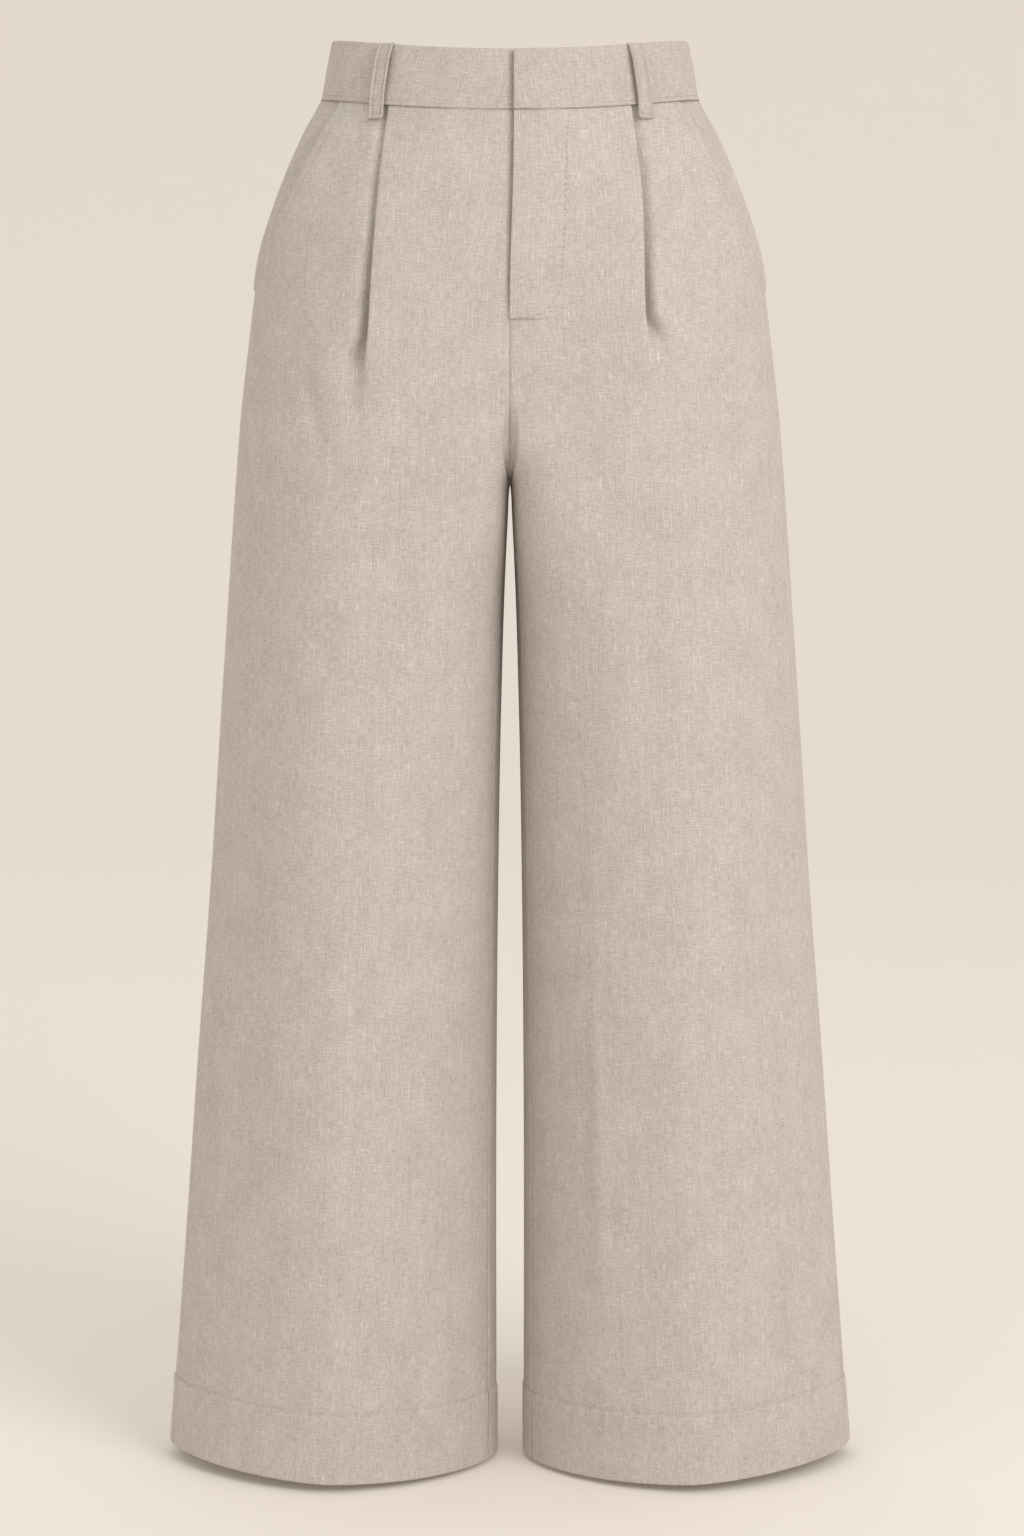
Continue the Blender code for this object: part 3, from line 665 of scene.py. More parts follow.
# How far the folds move the cloth at this height.
def foldsOut(tables, section, part, along):
    height = section.height
    across = along / wholeLength(section, part)
    out = np.zeros_like(across)
    for fold in [row for table in tables for row in tableRows(table)]:
        middle = (fold["top"] + fold["bottom"]) / 2
        reach = (fold["top"] - fold["bottom"]) / 2
        down = smooth(1.0 - abs(height - middle) / reach)
        slide = fold["lean"] * (middle - height) / (2 * reach)
        out += fold["out"] * down * hump(across - fold["across"] - slide, fold["reach"])
    x = np.interp(along, section.along, section.x)
    calm = 1.0 - smooth((x - section.x.min()) / form["innerCalm"])
    return out * (1.0 - calm * smooth((form["foldsTop"] - height) / 0.08))


# Leg panels

panel = {
    "wall": 0.0012,
    "hemWall": 0.0026,
    "hemLine": -0.9970,
    "hemEdge": -1.0508,
    "hemProud": 0.0009,
    "hemRise": 0.0014,  # the step up to the turned-up hem, a little above its line
    "hemAbove": 0.0006,
    "hemPucker": 0.00036,
    "hemPuckers": 34,
    "puckerReach": 0.0110,
    "hemGroove": 0.00045,
    "hemGrooveReach": 0.0022,
    "seamSink": 0.0011,
    "seamReach": 0.0022,
    "topSink": 0.0008,
    "topReach": 0.0022,
    "lowerColumns": 34,
    "upperColumns": 36,
    "bendColumns": 13,
    "bendFrom": 0.0430,
    "bendTo": 0.0060,
    "innerColumns": 7,
}
# How far columns are from a seam or a folded edge.
edgeColumns = np.array((0.0, 0.00012, 0.00035, 0.0007, 0.0011, 0.0017, 0.0027, 0.0042))
pocketColumns = np.array((0.0055, 0.0062, 0.0068, 0.0075, 0.0088))
# Steps between rows, and how far the closest rows are from the waist seam, the crotch, the hem's
# line and the hem's edge.
rowSteps = {"waist": 0.0023, "crotch": 0.0034, "leg": 0.0066, "hem": 0.0045}
topRows = (0.0, 0.0003, 0.0008, 0.0015, 0.0024)
crotchRows = (0.0045, 0.0022, 0.0010, 0.0003, -0.0001, -0.0010)
hemRows = (0.0080, 0.0055, 0.0036, 0.0024, 0.0015, 0.0009, 0.0004, 0.0)
hemRows += (-0.0004, -0.0009, -0.0016, -0.0026, -0.0042, -0.0065)
edgeRows = (0.0030, 0.0020, 0.0013, 0.0008, 0.0004, 0.00015, 0.0)

band = {
    "top": 0.0215,
    "seam": -0.0215,
    "wall": 0.0022,
    "proud": 0.0004,
    "lapEdge": 0.0031,
    "underlap": 0.0120,
    "lapRamp": 0.0200,
    "lapMargin": 0.0030,
    "lapLength": 0.0360,
    "lapColumns": 16,
    "columns": 44,
    "shade": 0.0024,  # how far the under end sinks beside the lap
    "shadeReach": 0.0120,
    "bead": 0.0004,
    "beadAt": 0.0012,
    "beadReach": 0.0014,
    "groove": 0.0004,
    "grooveAt": 0.0030,
    "grooveReach": 0.0016,
    "waver": 0.0003,
}
fly = {
    "end": -0.1800,
    "underlap": 0.0090,
    "step": 0.0015,
    "shade": 0.0021,  # how far the under side sinks beside the lap
    "shadeReach": 0.0095,
    "shadeFade": 0.0300,
    "facing": 0.0008,  # how far the doubled cloth inside the J stitch stands out
    "facingRamp": 0.0022,
    "facingFoot": 0.0012,
    "rows": (0.0040, 0.0001, -0.0002),  # rows close to its end
}
# The J stitch beside the fly. Its heights are the cloth's own, with the dip of the waist in them.
jStitch = (
    ("height", "x"),
    (-0.0318, 0.0416),
    (-0.1197, 0.0386),
    (-0.1508, 0.0372),
    (-0.1620, 0.0345),
    (-0.1700, 0.0301),
    (-0.1760, 0.0235),
    (-0.1793, 0.0155),
    (-0.1807, 0.0020),
)
pleatTable = (
    ("height", "foldX", "lap", "turn", "under", "bend", "lift"),
    (-0.0215, 0.0872, 0.0130, 180.0, 0.0031, 0.0030, 0.0000),
    (-0.0450, 0.0902, 0.0120, 180.0, 0.0037, 0.0030, 0.0004),
    (-0.0700, 0.0930, 0.0105, 180.0, 0.0050, 0.0031, 0.0009),
    (-0.0950, 0.0948, 0.0085, 180.0, 0.0068, 0.0032, 0.0016),
    (-0.1300, 0.0972, 0.0065, 180.0, 0.0090, 0.0033, 0.0024),
    (-0.1620, 0.0990, 0.0050, 178.0, 0.0132, 0.0034, 0.0033),
    (-0.1850, 0.1003, 0.0030, 162.0, 0.0146, 0.0034, 0.0034),
    (-0.1960, 0.1014, 0.0020, 136.0, 0.0136, 0.0034, 0.0030),
    (-0.2060, 0.1024, 0.0015, 97.0, 0.0112, 0.0035, 0.0022),
    (-0.2160, 0.1031, 0.0012, 58.0, 0.0086, 0.0038, 0.0015),
    (-0.2280, 0.1037, 0.0012, 31.0, 0.0075, 0.0042, 0.0009),
    (-0.2450, 0.1042, 0.0016, 14.0, 0.0066, 0.0050, 0.0004),
    (-0.2800, 0.1050, 0.0040, 2.0, 0.0060, 0.0060, 0.0000),
    (-0.4500, 0.1100, 0.0060, 0.0, 0.0090, 0.0090, 0.0000),
    (-1.0550, 0.1370, 0.0060, 0.0, 0.0090, 0.0090, 0.0000),
)
pleat = {
    "bendSteps": 7,
    "lapSteps": 4,
    "beside": 0.0350,  # the weave starts again from a line this far beside the fold
    "held": 0.0410,  # the most cloth that the pleat takes up
    "ramp": {"left": 0.0100, "right": 0.0090},
    "inward": {"left": 0.0, "right": 0.0035},  # the right fold hangs straighter
    "inwardAt": -0.1720,
    "inwardReach": 0.0900,
    "spread": 0.0400,
    "drawIn": {"left": 1.0, "right": 1.09},  # the right one ends a little higher
}
pocketTable = (
    ("height", "edgeTurn"),
    (-0.0215, 28.6),
    (-0.0400, 30.6),
    (-0.0590, 29.4),
    (-0.0800, 27.8),
    (-0.0960, 26.5),
    (-0.1160, 24.0),
    (-0.1350, 20.4),
    (-0.1500, 15.8),
    (-0.1610, 8.6),
    (-0.1700, 0.0),
)
crotchGroove = {"top": -0.2340, "fade": 0.0300, "depth": 0.0062, "reach": 0.0072}
pocket = {
    "end": -0.1700,
    "fade": 0.0100,
    "closeFrom": 0.0050,  # below its end the front is sewn to the back
    "gape": 0.0064,
    "gapeWidth": 0.0380,
    "gapeRise": 0.0850,
    "gapeFall": 0.0200,
    "sink": 0.0065,
    "sinkFrom": 0.34,
    "shallow": 0.4,  # share of the sink where the side piece is narrow
    "deepFrom": 0.0250,
    "swell": 0.0022,  # how far the side piece rounds out next to the side seam
    "swellAt": 0.2,
    "topShare": 0.3,  # share of the sink left at the band
    "topFade": 0.0260,  # it comes up to the band over this height
    "cover": 0.0140,
    "closed": 0.0090,
    "columns": 21,
    "coverColumns": 6,
    "stitchIn": 0.0065,
    "groove": 0.00045,
    "grooveReach": 0.0018,
}


# Heights of the rows from the waist seam down.
def upperHeights(end):
    top = band["seam"] - halfGap
    return [top - step for step in topRows] + list(np.arange(top - 0.0045, end, -rowSteps["waist"]))


# Heights of a panel's rows: close together near the waist, the pleat's end and the hem.
def panelHeights(extra=()):
    hem, edge = panel["hemLine"], panel["hemEdge"]
    rows = upperHeights(-0.2100)
    rows += list(np.arange(-0.2120, -0.3640, -rowSteps["crotch"]))
    rows += list(np.arange(-0.3690, hem + 0.0100, -rowSteps["leg"]))
    rows += list(np.arange(hem - 0.0100, edge + 0.0040, -rowSteps["hem"]))
    for height, steps in ((form["crotch"], crotchRows), (hem, hemRows), (edge, edgeRows)):
        rows += [height + step for step in steps]
    return sorted(set(rows) | set(extra), reverse=True)


# Wall thickness: doubled below the hem's line, and rounded off at the folded edge.
def hemWall(height):
    share = smooth((panel["hemLine"] + 0.0004 - height) / 0.0012)
    wall = panel["wall"] + (panel["hemWall"] - panel["wall"]) * share
    if height < panel["hemLine"]:
        wall = float(roundEdge(height - panel["hemEdge"], wall))
    return wall


# The turned-up hem stands out a little, with a puckered groove along its stitches.
def hemOut(height, across, seed):
    below = panel["hemLine"] + panel["hemAbove"] - height
    out = panel["hemProud"] * smooth(below / panel["hemRise"])
    out -= panel["hemGroove"] * hump(below, panel["hemGrooveReach"])
    turns = 2 * math.pi * panel["hemPuckers"] * across
    waves = np.sin(turns + seed) + 0.7 * np.sin(1.63 * turns + 2.1 * seed)
    near = hump(height - panel["hemLine"], panel["puckerReach"])
    out = out + panel["hemPucker"] * waves * near
    if height < panel["hemLine"]:
        out = out - (panel["hemWall"] - hemWall(height)) / 2
    return out


# The panel's top edge is turned in under the waistband.
def topOut(height):
    return -panel["topSink"] * (1.0 - smooth((band["seam"] - height) / panel["topReach"]))


# The cloth rolls in at a seam.
def seamOut(distance):
    share = np.clip(1.0 - distance / panel["seamReach"], 0.0, 1.0)
    return -panel["seamSink"] * share**2


# The S bend of the pleat: distances along and out, from the lower layer to the upper.
def pleatLine(section, side):
    height = section.height
    ended = height * pleat["drawIn"][side]
    turn = math.radians(max(read(pleatTable, "turn", ended), 0.0))
    bend = read(pleatTable, "bend", ended)
    under = read(pleatTable, "under", ended)
    lap = read(pleatTable, "lap", ended)
    steps, laps = pleat["bendSteps"], pleat["lapSteps"]
    bendTurns = (np.arange(steps) + 0.5) / steps
    headings = turn * np.concatenate((bendTurns, np.ones(laps), bendTurns[::-1]))
    lengths = np.concatenate((np.full(steps, under / steps), np.full(laps, lap / laps)))
    lengths = np.concatenate((lengths, np.full(steps, bend / steps)))
    along = np.concatenate(([0.0], np.cumsum(lengths * np.cos(headings))))
    out = np.concatenate(([0.0], np.cumsum(lengths * np.sin(headings))))
    foldAt = np.interp(steps + laps + steps / 2, np.arange(len(along)), along)
    inward = pleat["inward"][side] * hump(height - pleat["inwardAt"], pleat["inwardReach"])
    along += section.atX(read(pleatTable, "foldX", height) - inward) - foldAt
    out += read(pleatTable, "lift", height) - out[-1]
    return along, out


# How far from the middle the two sides meet. They touch at the crotch, so no light gets by.
def meetingPlane(height):
    return halfGap * (1.0 - 0.9 * smooth((form["touchFrom"] - height) / form["touchFade"]))


# Places round the bend to the middle seam or inner leg, closest where it turns most.
def innerBend(section):
    share = np.linspace(0.0, 1.0, panel["bendColumns"])
    steps = panel["bendFrom"] * (panel["bendTo"] / panel["bendFrom"]) ** share
    return np.array([section.atX(section.x.min() + step) for step in steps])


# One row of a front panel, from the pocket edge or side seam to the middle or inner seam.
def frontRow(height, side):
    laps = side == "right"
    onFly = height >= fly["end"]
    under = height > fly["end"] and not laps
    endX = halfGap
    if onFly and laps:
        endX = band["lapEdge"] * smooth((height - fly["end"]) / (band["seam"] - fly["end"]))
    if under:
        endX = -band["lapEdge"] - fly["underlap"]
    section = Section(height, "front", endX)
    above = height - pocket["end"]
    start, gape = halfGap, 0.0
    if above > 0.0:
        start = max(section.atTurn(read(pocketTable, "edgeTurn", height)), halfGap)
        gape = pocket["gape"] * smooth(above / pocket["gapeRise"])
        gape *= smooth((band["seam"] - height) / pocket["gapeFall"])
    pleatAlong, pleatOut = pleatLine(section, side)
    near = np.concatenate((start + edgeColumns, start + pocketColumns))
    lower = np.linspace(near[-1], pleatAlong[0], panel["lowerColumns"] + 1)[1:-1]
    lower = np.concatenate((near, lower))
    underFold = pleatAlong.min() - panel["wall"]
    lowerOut = pleatOut[0] * smooth(1.0 - (underFold - lower) / pleat["ramp"][side])
    lowerOut += gape * smooth(1.0 - (lower - start) / pocket["gapeWidth"])
    bend = innerBend(section)
    upper = np.linspace(pleatAlong[-1], bend[0], panel["upperColumns"] + 1)[1:-1]
    edge = section.length - edgeColumns[::-1]
    inner = np.linspace(bend[-1], edge[0], panel["innerColumns"] + 1)[1:-1]
    upper = np.concatenate((upper, bend, inner, edge))
    upperOut = pleatOut[-1] * smooth(1.0 - (upper - pleatAlong[-1]) / pleat["spread"])
    if laps and onFly:
        flatTo = section.length - fly["underlap"] - band["lapMargin"]
        upperOut += fly["step"] * smooth(1.0 - (flatTo - upper) / band["lapRamp"])
    if under:
        lapAt = section.atX(-band["lapEdge"])
        held = smooth((height - fly["end"]) / fly["shadeFade"])
        upperOut -= fly["shade"] * held * smooth(1.0 - (lapAt - upper) / fly["shadeReach"])
    along = np.concatenate((lower, pleatAlong, upper))
    out = np.concatenate((lowerOut, pleatOut, upperOut))
    out += foldsOut((frontFolds, creases["front_" + side]), section, "front", along)
    if laps:
        out += flyFacing(section, along)
    fromStart = along - start
    fromEnd = section.length - along
    groove = pocket["groove"] * hump(fromStart - pocket["stitchIn"], pocket["grooveReach"])
    out -= groove * smooth(above / pocket["fade"])
    closed = 1.0 - smooth((above + pocket["closeFrom"]) / pocket["fade"])
    out += closed * seamOut(fromStart)
    if height > form["crotch"]:
        sunk = smooth((crotchGroove["top"] - height) / crotchGroove["fade"])
        out -= crotchGroove["depth"] * sunk * hump(fromEnd, crotchGroove["reach"])
    if not onFly:
        out += seamOut(fromEnd)
    out += hemOut(height, along / section.length, 1.3 if laps else 0.4) + topOut(height)
    wall = roundEdge(np.minimum(fromStart, fromEnd), hemWall(height), panel["wall"] / 2)
    met = form["crotch"] < height < fly["end"]
    row = clothRow(section, along, out, wall, 1.0, meetingPlane(height) if met else None)
    # The weave is straight along the pleat's fold, and what the pleat takes up is out of sight.
    first, last = len(lower), len(lower) + len(pleatAlong) - 1
    beside = section.atX(read(pleatTable, "foldX", height) + pleat["beside"])
    beside = float(np.interp(beside, lower, row.cloth[:first]))
    taken = min(row.cloth[last] - beside, pleat["held"])
    row.grain = row.cloth - row.cloth[last]
    row.grain[: first + 1] = row.cloth[: first + 1] - beside - taken
    row.grain[first : last + 1] = np.linspace(row.grain[first], 0.0, last - first + 1)
    return row


# The cloth stands out where it is doubled by the fly's facing, up to the J stitch.
def flyFacing(section, along):
    x = np.interp(along, section.along, section.x)
    height = section.drop(along)
    heights, edges = np.array(sorted(jStitch[1:])).T
    inside = np.interp(height, heights, edges) - x
    below = smooth((height - heights[0]) / fly["facingFoot"])
    return fly["facing"] * below * smooth(0.5 + inside / fly["facingRamp"])


def makeFronts():
    rows = {}
    heights = panelHeights([fly["end"] + step for step in fly["rows"]])
    for side, shift in (("left", (2.3, 0.4)), ("right", (0.7, 1.9))):
        rows[side] = [frontRow(height, side) for height in heights]
        name, mirror = "front_" + side, side == "left"
        makePiece(name, rows[side], "linen", shift, mirror)
    return rows


frontRows = makeFronts()
print("front panels made")

gathers = {
    "count": 16,
    "depth": 0.0012,
    "swell": 0.3,
    "uneven": 0.2,
    "unevenTurn": 2.3,
    "drift": 0.35,
    "columns": 12,
    "skip": 3,
    "bendShares": (0.76, 0.91),
    "bendTop": -0.1200,
    "bendFade": 0.0800,
    "evenOut": 0.2500,
    "calmReach": 0.0120,
    "calmRamp": 0.0120,
    "calmEnd": -0.0800,
    "calmWhole": -0.0400,
    "fine": 0.00035,
    "fineWaves": 3,
    "fineLean": 14.0,
}
gatherFade = (
    ("height", "depth"),
    (-0.0215, 0.0012),
    (-0.0450, 0.0020),
    (-0.0750, 0.0016),
    (-0.1100, 0.0008),
    (-0.1600, 0.0000),
    (-0.2000, 0.0000),
)
drifts = (
    ("waves", "start", "size"),
    (3, 0.15, 0.6),
    (7, 0.00, 0.4),
)
beltLoops = (
    ("name", "part", "topX", "footX", "mirror"),
    ("belt_loop_front_left", "front", 0.0877, 0.0958, True),
    ("belt_loop_front_right", "front", 0.0889, 0.0972, False),
    ("belt_loop_back_left", "back", 0.0805, 0.0887, True),
    ("belt_loop_back_right", "back", 0.0805, 0.0887, False),
    ("belt_loop_back_centre", "back", 0.0000, 0.0000, False),
)
loop = {
    "width": 0.0118,
    "top": 0.0221,
    "foot": -0.0318,
    "seat": 0.0007,
    "wall": 0.0014,
    "bow": {"front": 0.0024, "back": 0.0008},
    "topBend": 0.25,
    "footBend": 0.42,
    "rows": 60,
    "columns": (0.0, 0.02, 0.05, 0.10, 0.17, 0.25, 0.36, 0.5),
    "crowd": 0.006,  # rows are closer together at both ends
    "rim": 0.00075,
    "rimAt": 0.0007,
    "rimReach": 0.0010,
    "stitchReach": 0.0011,
    "footEdge": 0.0008,
    "footRidge": (0.0011, 0.0015),  # place and reach, above the foot
    "footGroove": (0.0036, 0.0014),
    "tuck": 0.0022,  # how far its top end turns in
    "tuckReach": 0.0016,
    "stitchIn": 0.0020,
    "stitchColumn": 4,  # the column of the strap that lies at stitchIn
    "on": {
        "belt_loop_front_left": "waistband_front_left",
        "belt_loop_front_right": "waistband_front_right",
    },
}


def gatherPhase():
    share = np.linspace(0.0, 1.0, 721)
    phase = gathers["count"] * share
    for drift in tableRows(drifts):
        turns = drift["waves"] * share + drift["start"]
        phase += gathers["drift"] * drift["size"] * np.sin(2 * math.pi * turns)
    phase -= phase[0]
    return share, phase * gathers["count"] / phase[-1]


# Where the cloth stands between trough, -1, and crest, 1, at these shares of the back.
def gatherWave(share):
    count = np.interp(share, *gatherPhase())
    uneven = 1.0 - gathers["uneven"] * (1.0 - np.sin(gathers["unevenTurn"] * count))
    return -np.cos(2 * math.pi * count) * uneven


# Places of the columns from one gather to another, as shares of the back's width.
def gatherShares(first, last):
    shares, phase = gatherPhase()
    columns = gathers["columns"]
    counts = np.arange(first * columns, last * columns + 1) / columns
    return np.interp(counts, phase, shares)


def loopX(strap, height):
    share = float(np.clip((loop["top"] - height) / (loop["top"] - loop["foot"]), 0.0, 1.0))
    return strap["topX"] + (strap["footX"] - strap["topX"]) * share


# 0 under the belt loops of the back, where the gathers lie flat, and 1 away from them.
def gatherCalm(section, along):
    x = np.interp(along, section.along, section.x)
    span = gathers["calmWhole"] - gathers["calmEnd"]
    held = smooth((section.height - gathers["calmEnd"]) / span)
    calm = np.ones_like(x)
    for strap in tableRows(beltLoops):
        if strap["part"] == "back":
            beside = np.abs(x - loopX(strap, section.height)) - gathers["calmReach"]
            calm = np.minimum(calm, 1.0 - held * smooth(1.0 - beside / gathers["calmRamp"]))
    return calm


# Places on a back panel: by the gathers near the waist, and lower down even on the flat and closer
# round the inner bend.
def aroundBack(section, across, even):
    gathered = halfGap + across * (section.length - halfGap)
    bend = innerBend(section)
    shares = np.linspace(*gathers["bendShares"], len(bend))
    shares = np.concatenate(([0.0], shares, [even[-1]]))
    last = section.length - 1.1 * edgeColumns[-1]
    places = np.concatenate(([halfGap], bend, [last]))
    bent = np.interp(even, shares, places)
    blend = smooth((gathers["bendTop"] - section.height) / gathers["bendFade"])
    return gathered * (1.0 - blend) + bent * blend


# One row of a back panel, from the side seam to the middle or inner seam.
def backRow(height, side):
    section = Section(height, "back")
    half = gathers["count"] // 2
    shares = gatherShares(0, half)
    middle = shares[-1]
    if side == "right":
        shares = gatherShares(half, gathers["count"])[::-1]
        across = (1.0 - shares) / (1.0 - middle)
    else:
        across = shares / middle
    even = np.linspace(0.0, 1.0, len(across))
    blend = smooth((band["seam"] - height) / gathers["evenOut"])
    across = across * (1.0 - blend) + even * blend
    wave = gatherWave(shares)
    inside = slice(gathers["skip"], len(across) - gathers["skip"])
    along = aroundBack(section, across[inside], even[inside])
    along = np.concatenate((halfGap + edgeColumns, along, section.length - edgeColumns[::-1]))
    edge = np.ones(len(edgeColumns))
    waves = np.concatenate((wave[0] * edge, wave[inside], wave[-1] * edge))
    out = read(gatherFade, "depth", height) * waves * gatherCalm(section, along)
    out += foldsOut((backFolds, creases["back_" + side]), section, "back", along)
    fromStart = along - halfGap
    fromEnd = section.length - along
    out += seamOut(fromStart) + seamOut(fromEnd)
    out += hemOut(height, along / section.length, 2.2 if side == "left" else 3.7) + topOut(height)
    wall = roundEdge(np.minimum(fromStart, fromEnd), hemWall(height), panel["wall"] / 2)
    closeX = meetingPlane(height) if height > form["crotch"] else None
    row = clothRow(section, along, out, wall, -1.0, closeX)
    straight = section.atX(read(pleatTable, "foldX", height))
    row.grain = row.cloth - np.interp(straight, along, row.cloth)
    return row


def makeBacks():
    rows = {}
    for side, shift in (("left", (4.1, 0.9)), ("right", (5.6, 2.8))):
        rows[side] = [backRow(height, side) for height in panelHeights()]
        name, mirror = "back_" + side, side == "left"
        makePiece(name, rows[side], "linen", shift, mirror, True)
    return rows


backRows = makeBacks()
print("back panels made")


# One row of the piece that shows inside the slant pocket.
def pocketRow(height):
    section = Section(height, "front")
    edge = max(section.atTurn(read(pocketTable, "edgeTurn", height)), halfGap)
    first = halfGap + edgeColumns
    if edge > first[-1] * 1.5:
        shown = np.linspace(first[-1], edge, pocket["columns"] + 1)[1:]
        cover = edge + np.linspace(0.0, pocket["cover"], pocket["coverColumns"] + 1)[1:]
        along = np.concatenate((first, shown, cover))
    else:
        count = pocket["columns"] + pocket["coverColumns"] + 1
        along = np.concatenate((first, first[-1] + np.linspace(0.0, pocket["cover"], count)[1:]))
    closed = 1.0 - smooth((edge - pocket["closed"]) / pocket["closed"])
    inward = smooth((along / edge - pocket["sinkFrom"]) / (1.0 - pocket["sinkFrom"]))
    wide = smooth((edge - pocket["closed"]) / pocket["deepFrom"])
    deep = pocket["shallow"] + (1.0 - pocket["shallow"]) * wide
    low = smooth((band["seam"] - height) / pocket["topFade"])
    deep *= pocket["topShare"] + (1.0 - pocket["topShare"]) * low
    out = -pocket["sink"] * np.maximum(inward * deep, closed) + seamOut(along - halfGap)
    out += pocket["swell"] * deep * hump(along / edge - pocket["swellAt"], pocket["swellAt"])
    out += topOut(height)
    wall = roundEdge(along - halfGap, panel["wall"])
    return clothRow(section, along, out, wall)


def makePocketSides():
    rows = [pocketRow(height) for height in upperHeights(pocket["end"]) + [pocket["end"]]]
    for side, shift in (("left", (6.2, 0.3)), ("right", (6.2, 1.4))):
        name, mirror = "pocket_side_" + side, side == "left"
        makePiece(name, rows, "linen", shift, mirror)


makePocketSides()
print("pocket sides made")


def bandHeights():
    top, seam = band["top"], band["seam"] + halfGap
    near = (0.0, 0.00015, 0.0004, 0.0008, 0.0014, 0.0022, 0.0034)
    middle = np.linspace(top - 0.0055, seam + 0.0055, 14)
    return [top - step for step in near] + list(middle) + [seam + step for step in near[::-1]]


# Wall of the doubled band, rounded off at its folded top and lower edges.
def bandWall(height):
    distance = min(band["top"] - height, height - band["seam"] - halfGap)
    return float(roundEdge(distance, band["wall"]))


# The band's face: proud of the legs, with a bead along its folded lower edge and a groove where
# the stitches are.
def bandOut(height):
    above = height - band["seam"]
    out = band["proud"] - (band["wall"] - bandWall(height)) / 2
    out += band["bead"] * hump(above - band["beadAt"], band["beadReach"])
    return out - band["groove"] * hump(above - band["grooveAt"], band["grooveReach"])


# One row of a front band half, from the side seam to its end at the fly.
def bandFrontRow(height, laps):
    endX = band["lapEdge"] if laps else -band["lapEdge"] - band["underlap"]
    section = Section(height, "front", endX)
    stops = section.length - edgeColumns[::-1]
    lap = np.linspace(section.length - band["lapLength"], stops[0], band["lapColumns"])
    along = np.linspace(halfGap + edgeColumns[-1], lap[0], band["columns"])
    along = np.concatenate((halfGap + edgeColumns[:-1], along, lap[1:], stops[1:]))
    # The pressed cloth wavers a little, in a different way on each half.
    place = along + (0.4 if laps else 0.0)
    waver = np.sin(place * 61.0 + height * 70.0) * np.sin(place * 23.0 + 1.0 - height * 40.0)
    out = bandOut(height) + band["waver"] * waver
    if laps:
        flatTo = section.length - band["underlap"] - band["lapMargin"]
        out += (band["wall"] + seamGap) * smooth(1.0 - (flatTo - along) / band["lapRamp"])
    else:
        lapAt = section.atX(-band["lapEdge"])
        out -= band["shade"] * smooth(1.0 - (lapAt - along) / band["shadeReach"])
    fromStart = along - halfGap
    out += seamOut(fromStart)
    wall = roundEdge(np.minimum(fromStart, section.length - along), bandWall(height))
    return clothRow(section, along, out, wall)


elastic = {"lines": (0.0085, -0.0065), "groove": 0.0004, "reach": 0.0024}


# One row of the elasticated back band, from the left side seam to the right one.
def bandBackRow(height):
    section = Section(height, "back", 0.0)
    shares = gatherShares(0, gathers["count"])
    middle = shares[gathers["count"] // 2 * gathers["columns"]]
    onRight = shares > middle
    across = np.where(onRight, (1.0 - shares) / (1.0 - middle), shares / middle)
    along = halfGap + np.clip(across, 0.0, 1.0) * (section.length - halfGap)
    inside = min(band["top"] - height, height - band["seam"]) / (band["top"] - band["seam"])
    depth = gathers["depth"] * (1.0 + gathers["swell"] * smooth(inside * 3))
    turns = 2 * math.pi * gathers["fineWaves"] * gathers["count"] * shares
    fine = np.sin(turns + gathers["fineLean"] * height)
    out = depth * gatherWave(shares) + gathers["fine"] * fine
    out *= gatherCalm(section, along)
    for line in elastic["lines"]:
        out -= elastic["groove"] * hump(height - line, elastic["reach"])
    out += bandOut(height) + seamOut(along - halfGap)
    wall = roundEdge(along - halfGap, bandWall(height))
    points = section.place(along, out - wall / 2)
    points[:, 0] *= np.where(onRight, 1.0, -1.0)
    step = sideSteps(points)
    step[0] = (-1.0, 0.0)
    step[-1] = (1.0, 0.0)
    normal = step / np.linalg.norm(step, axis=1)[:, None]
    step *= (wall / 2)[:, None]
    row = Row(section, along, (points + step, points - step), normal)
    row.grain = row.cloth - row.cloth[len(row.cloth) // 2]
    return row


def makeWaistband():
    rows = {}
    for side, shift in (("left", (8.9, 1.1)), ("right", (7.3, 0.2))):
        rows[side] = [bandFrontRow(height, side == "right") for height in bandHeights()]
        name, mirror = "waistband_front_" + side, side == "left"
        makePiece(name, rows[side], "band_linen", shift, mirror)
    rows["back"] = [bandBackRow(height) for height in bandHeights()]
    name, legs, shift = "waistband_back", ["back_left", "back_right"], (10.4, 2.2)
    makePiece(name, rows["back"], "band_linen", shift, True, True)
    return rows


bandRows = makeWaistband()
print("waistband made")


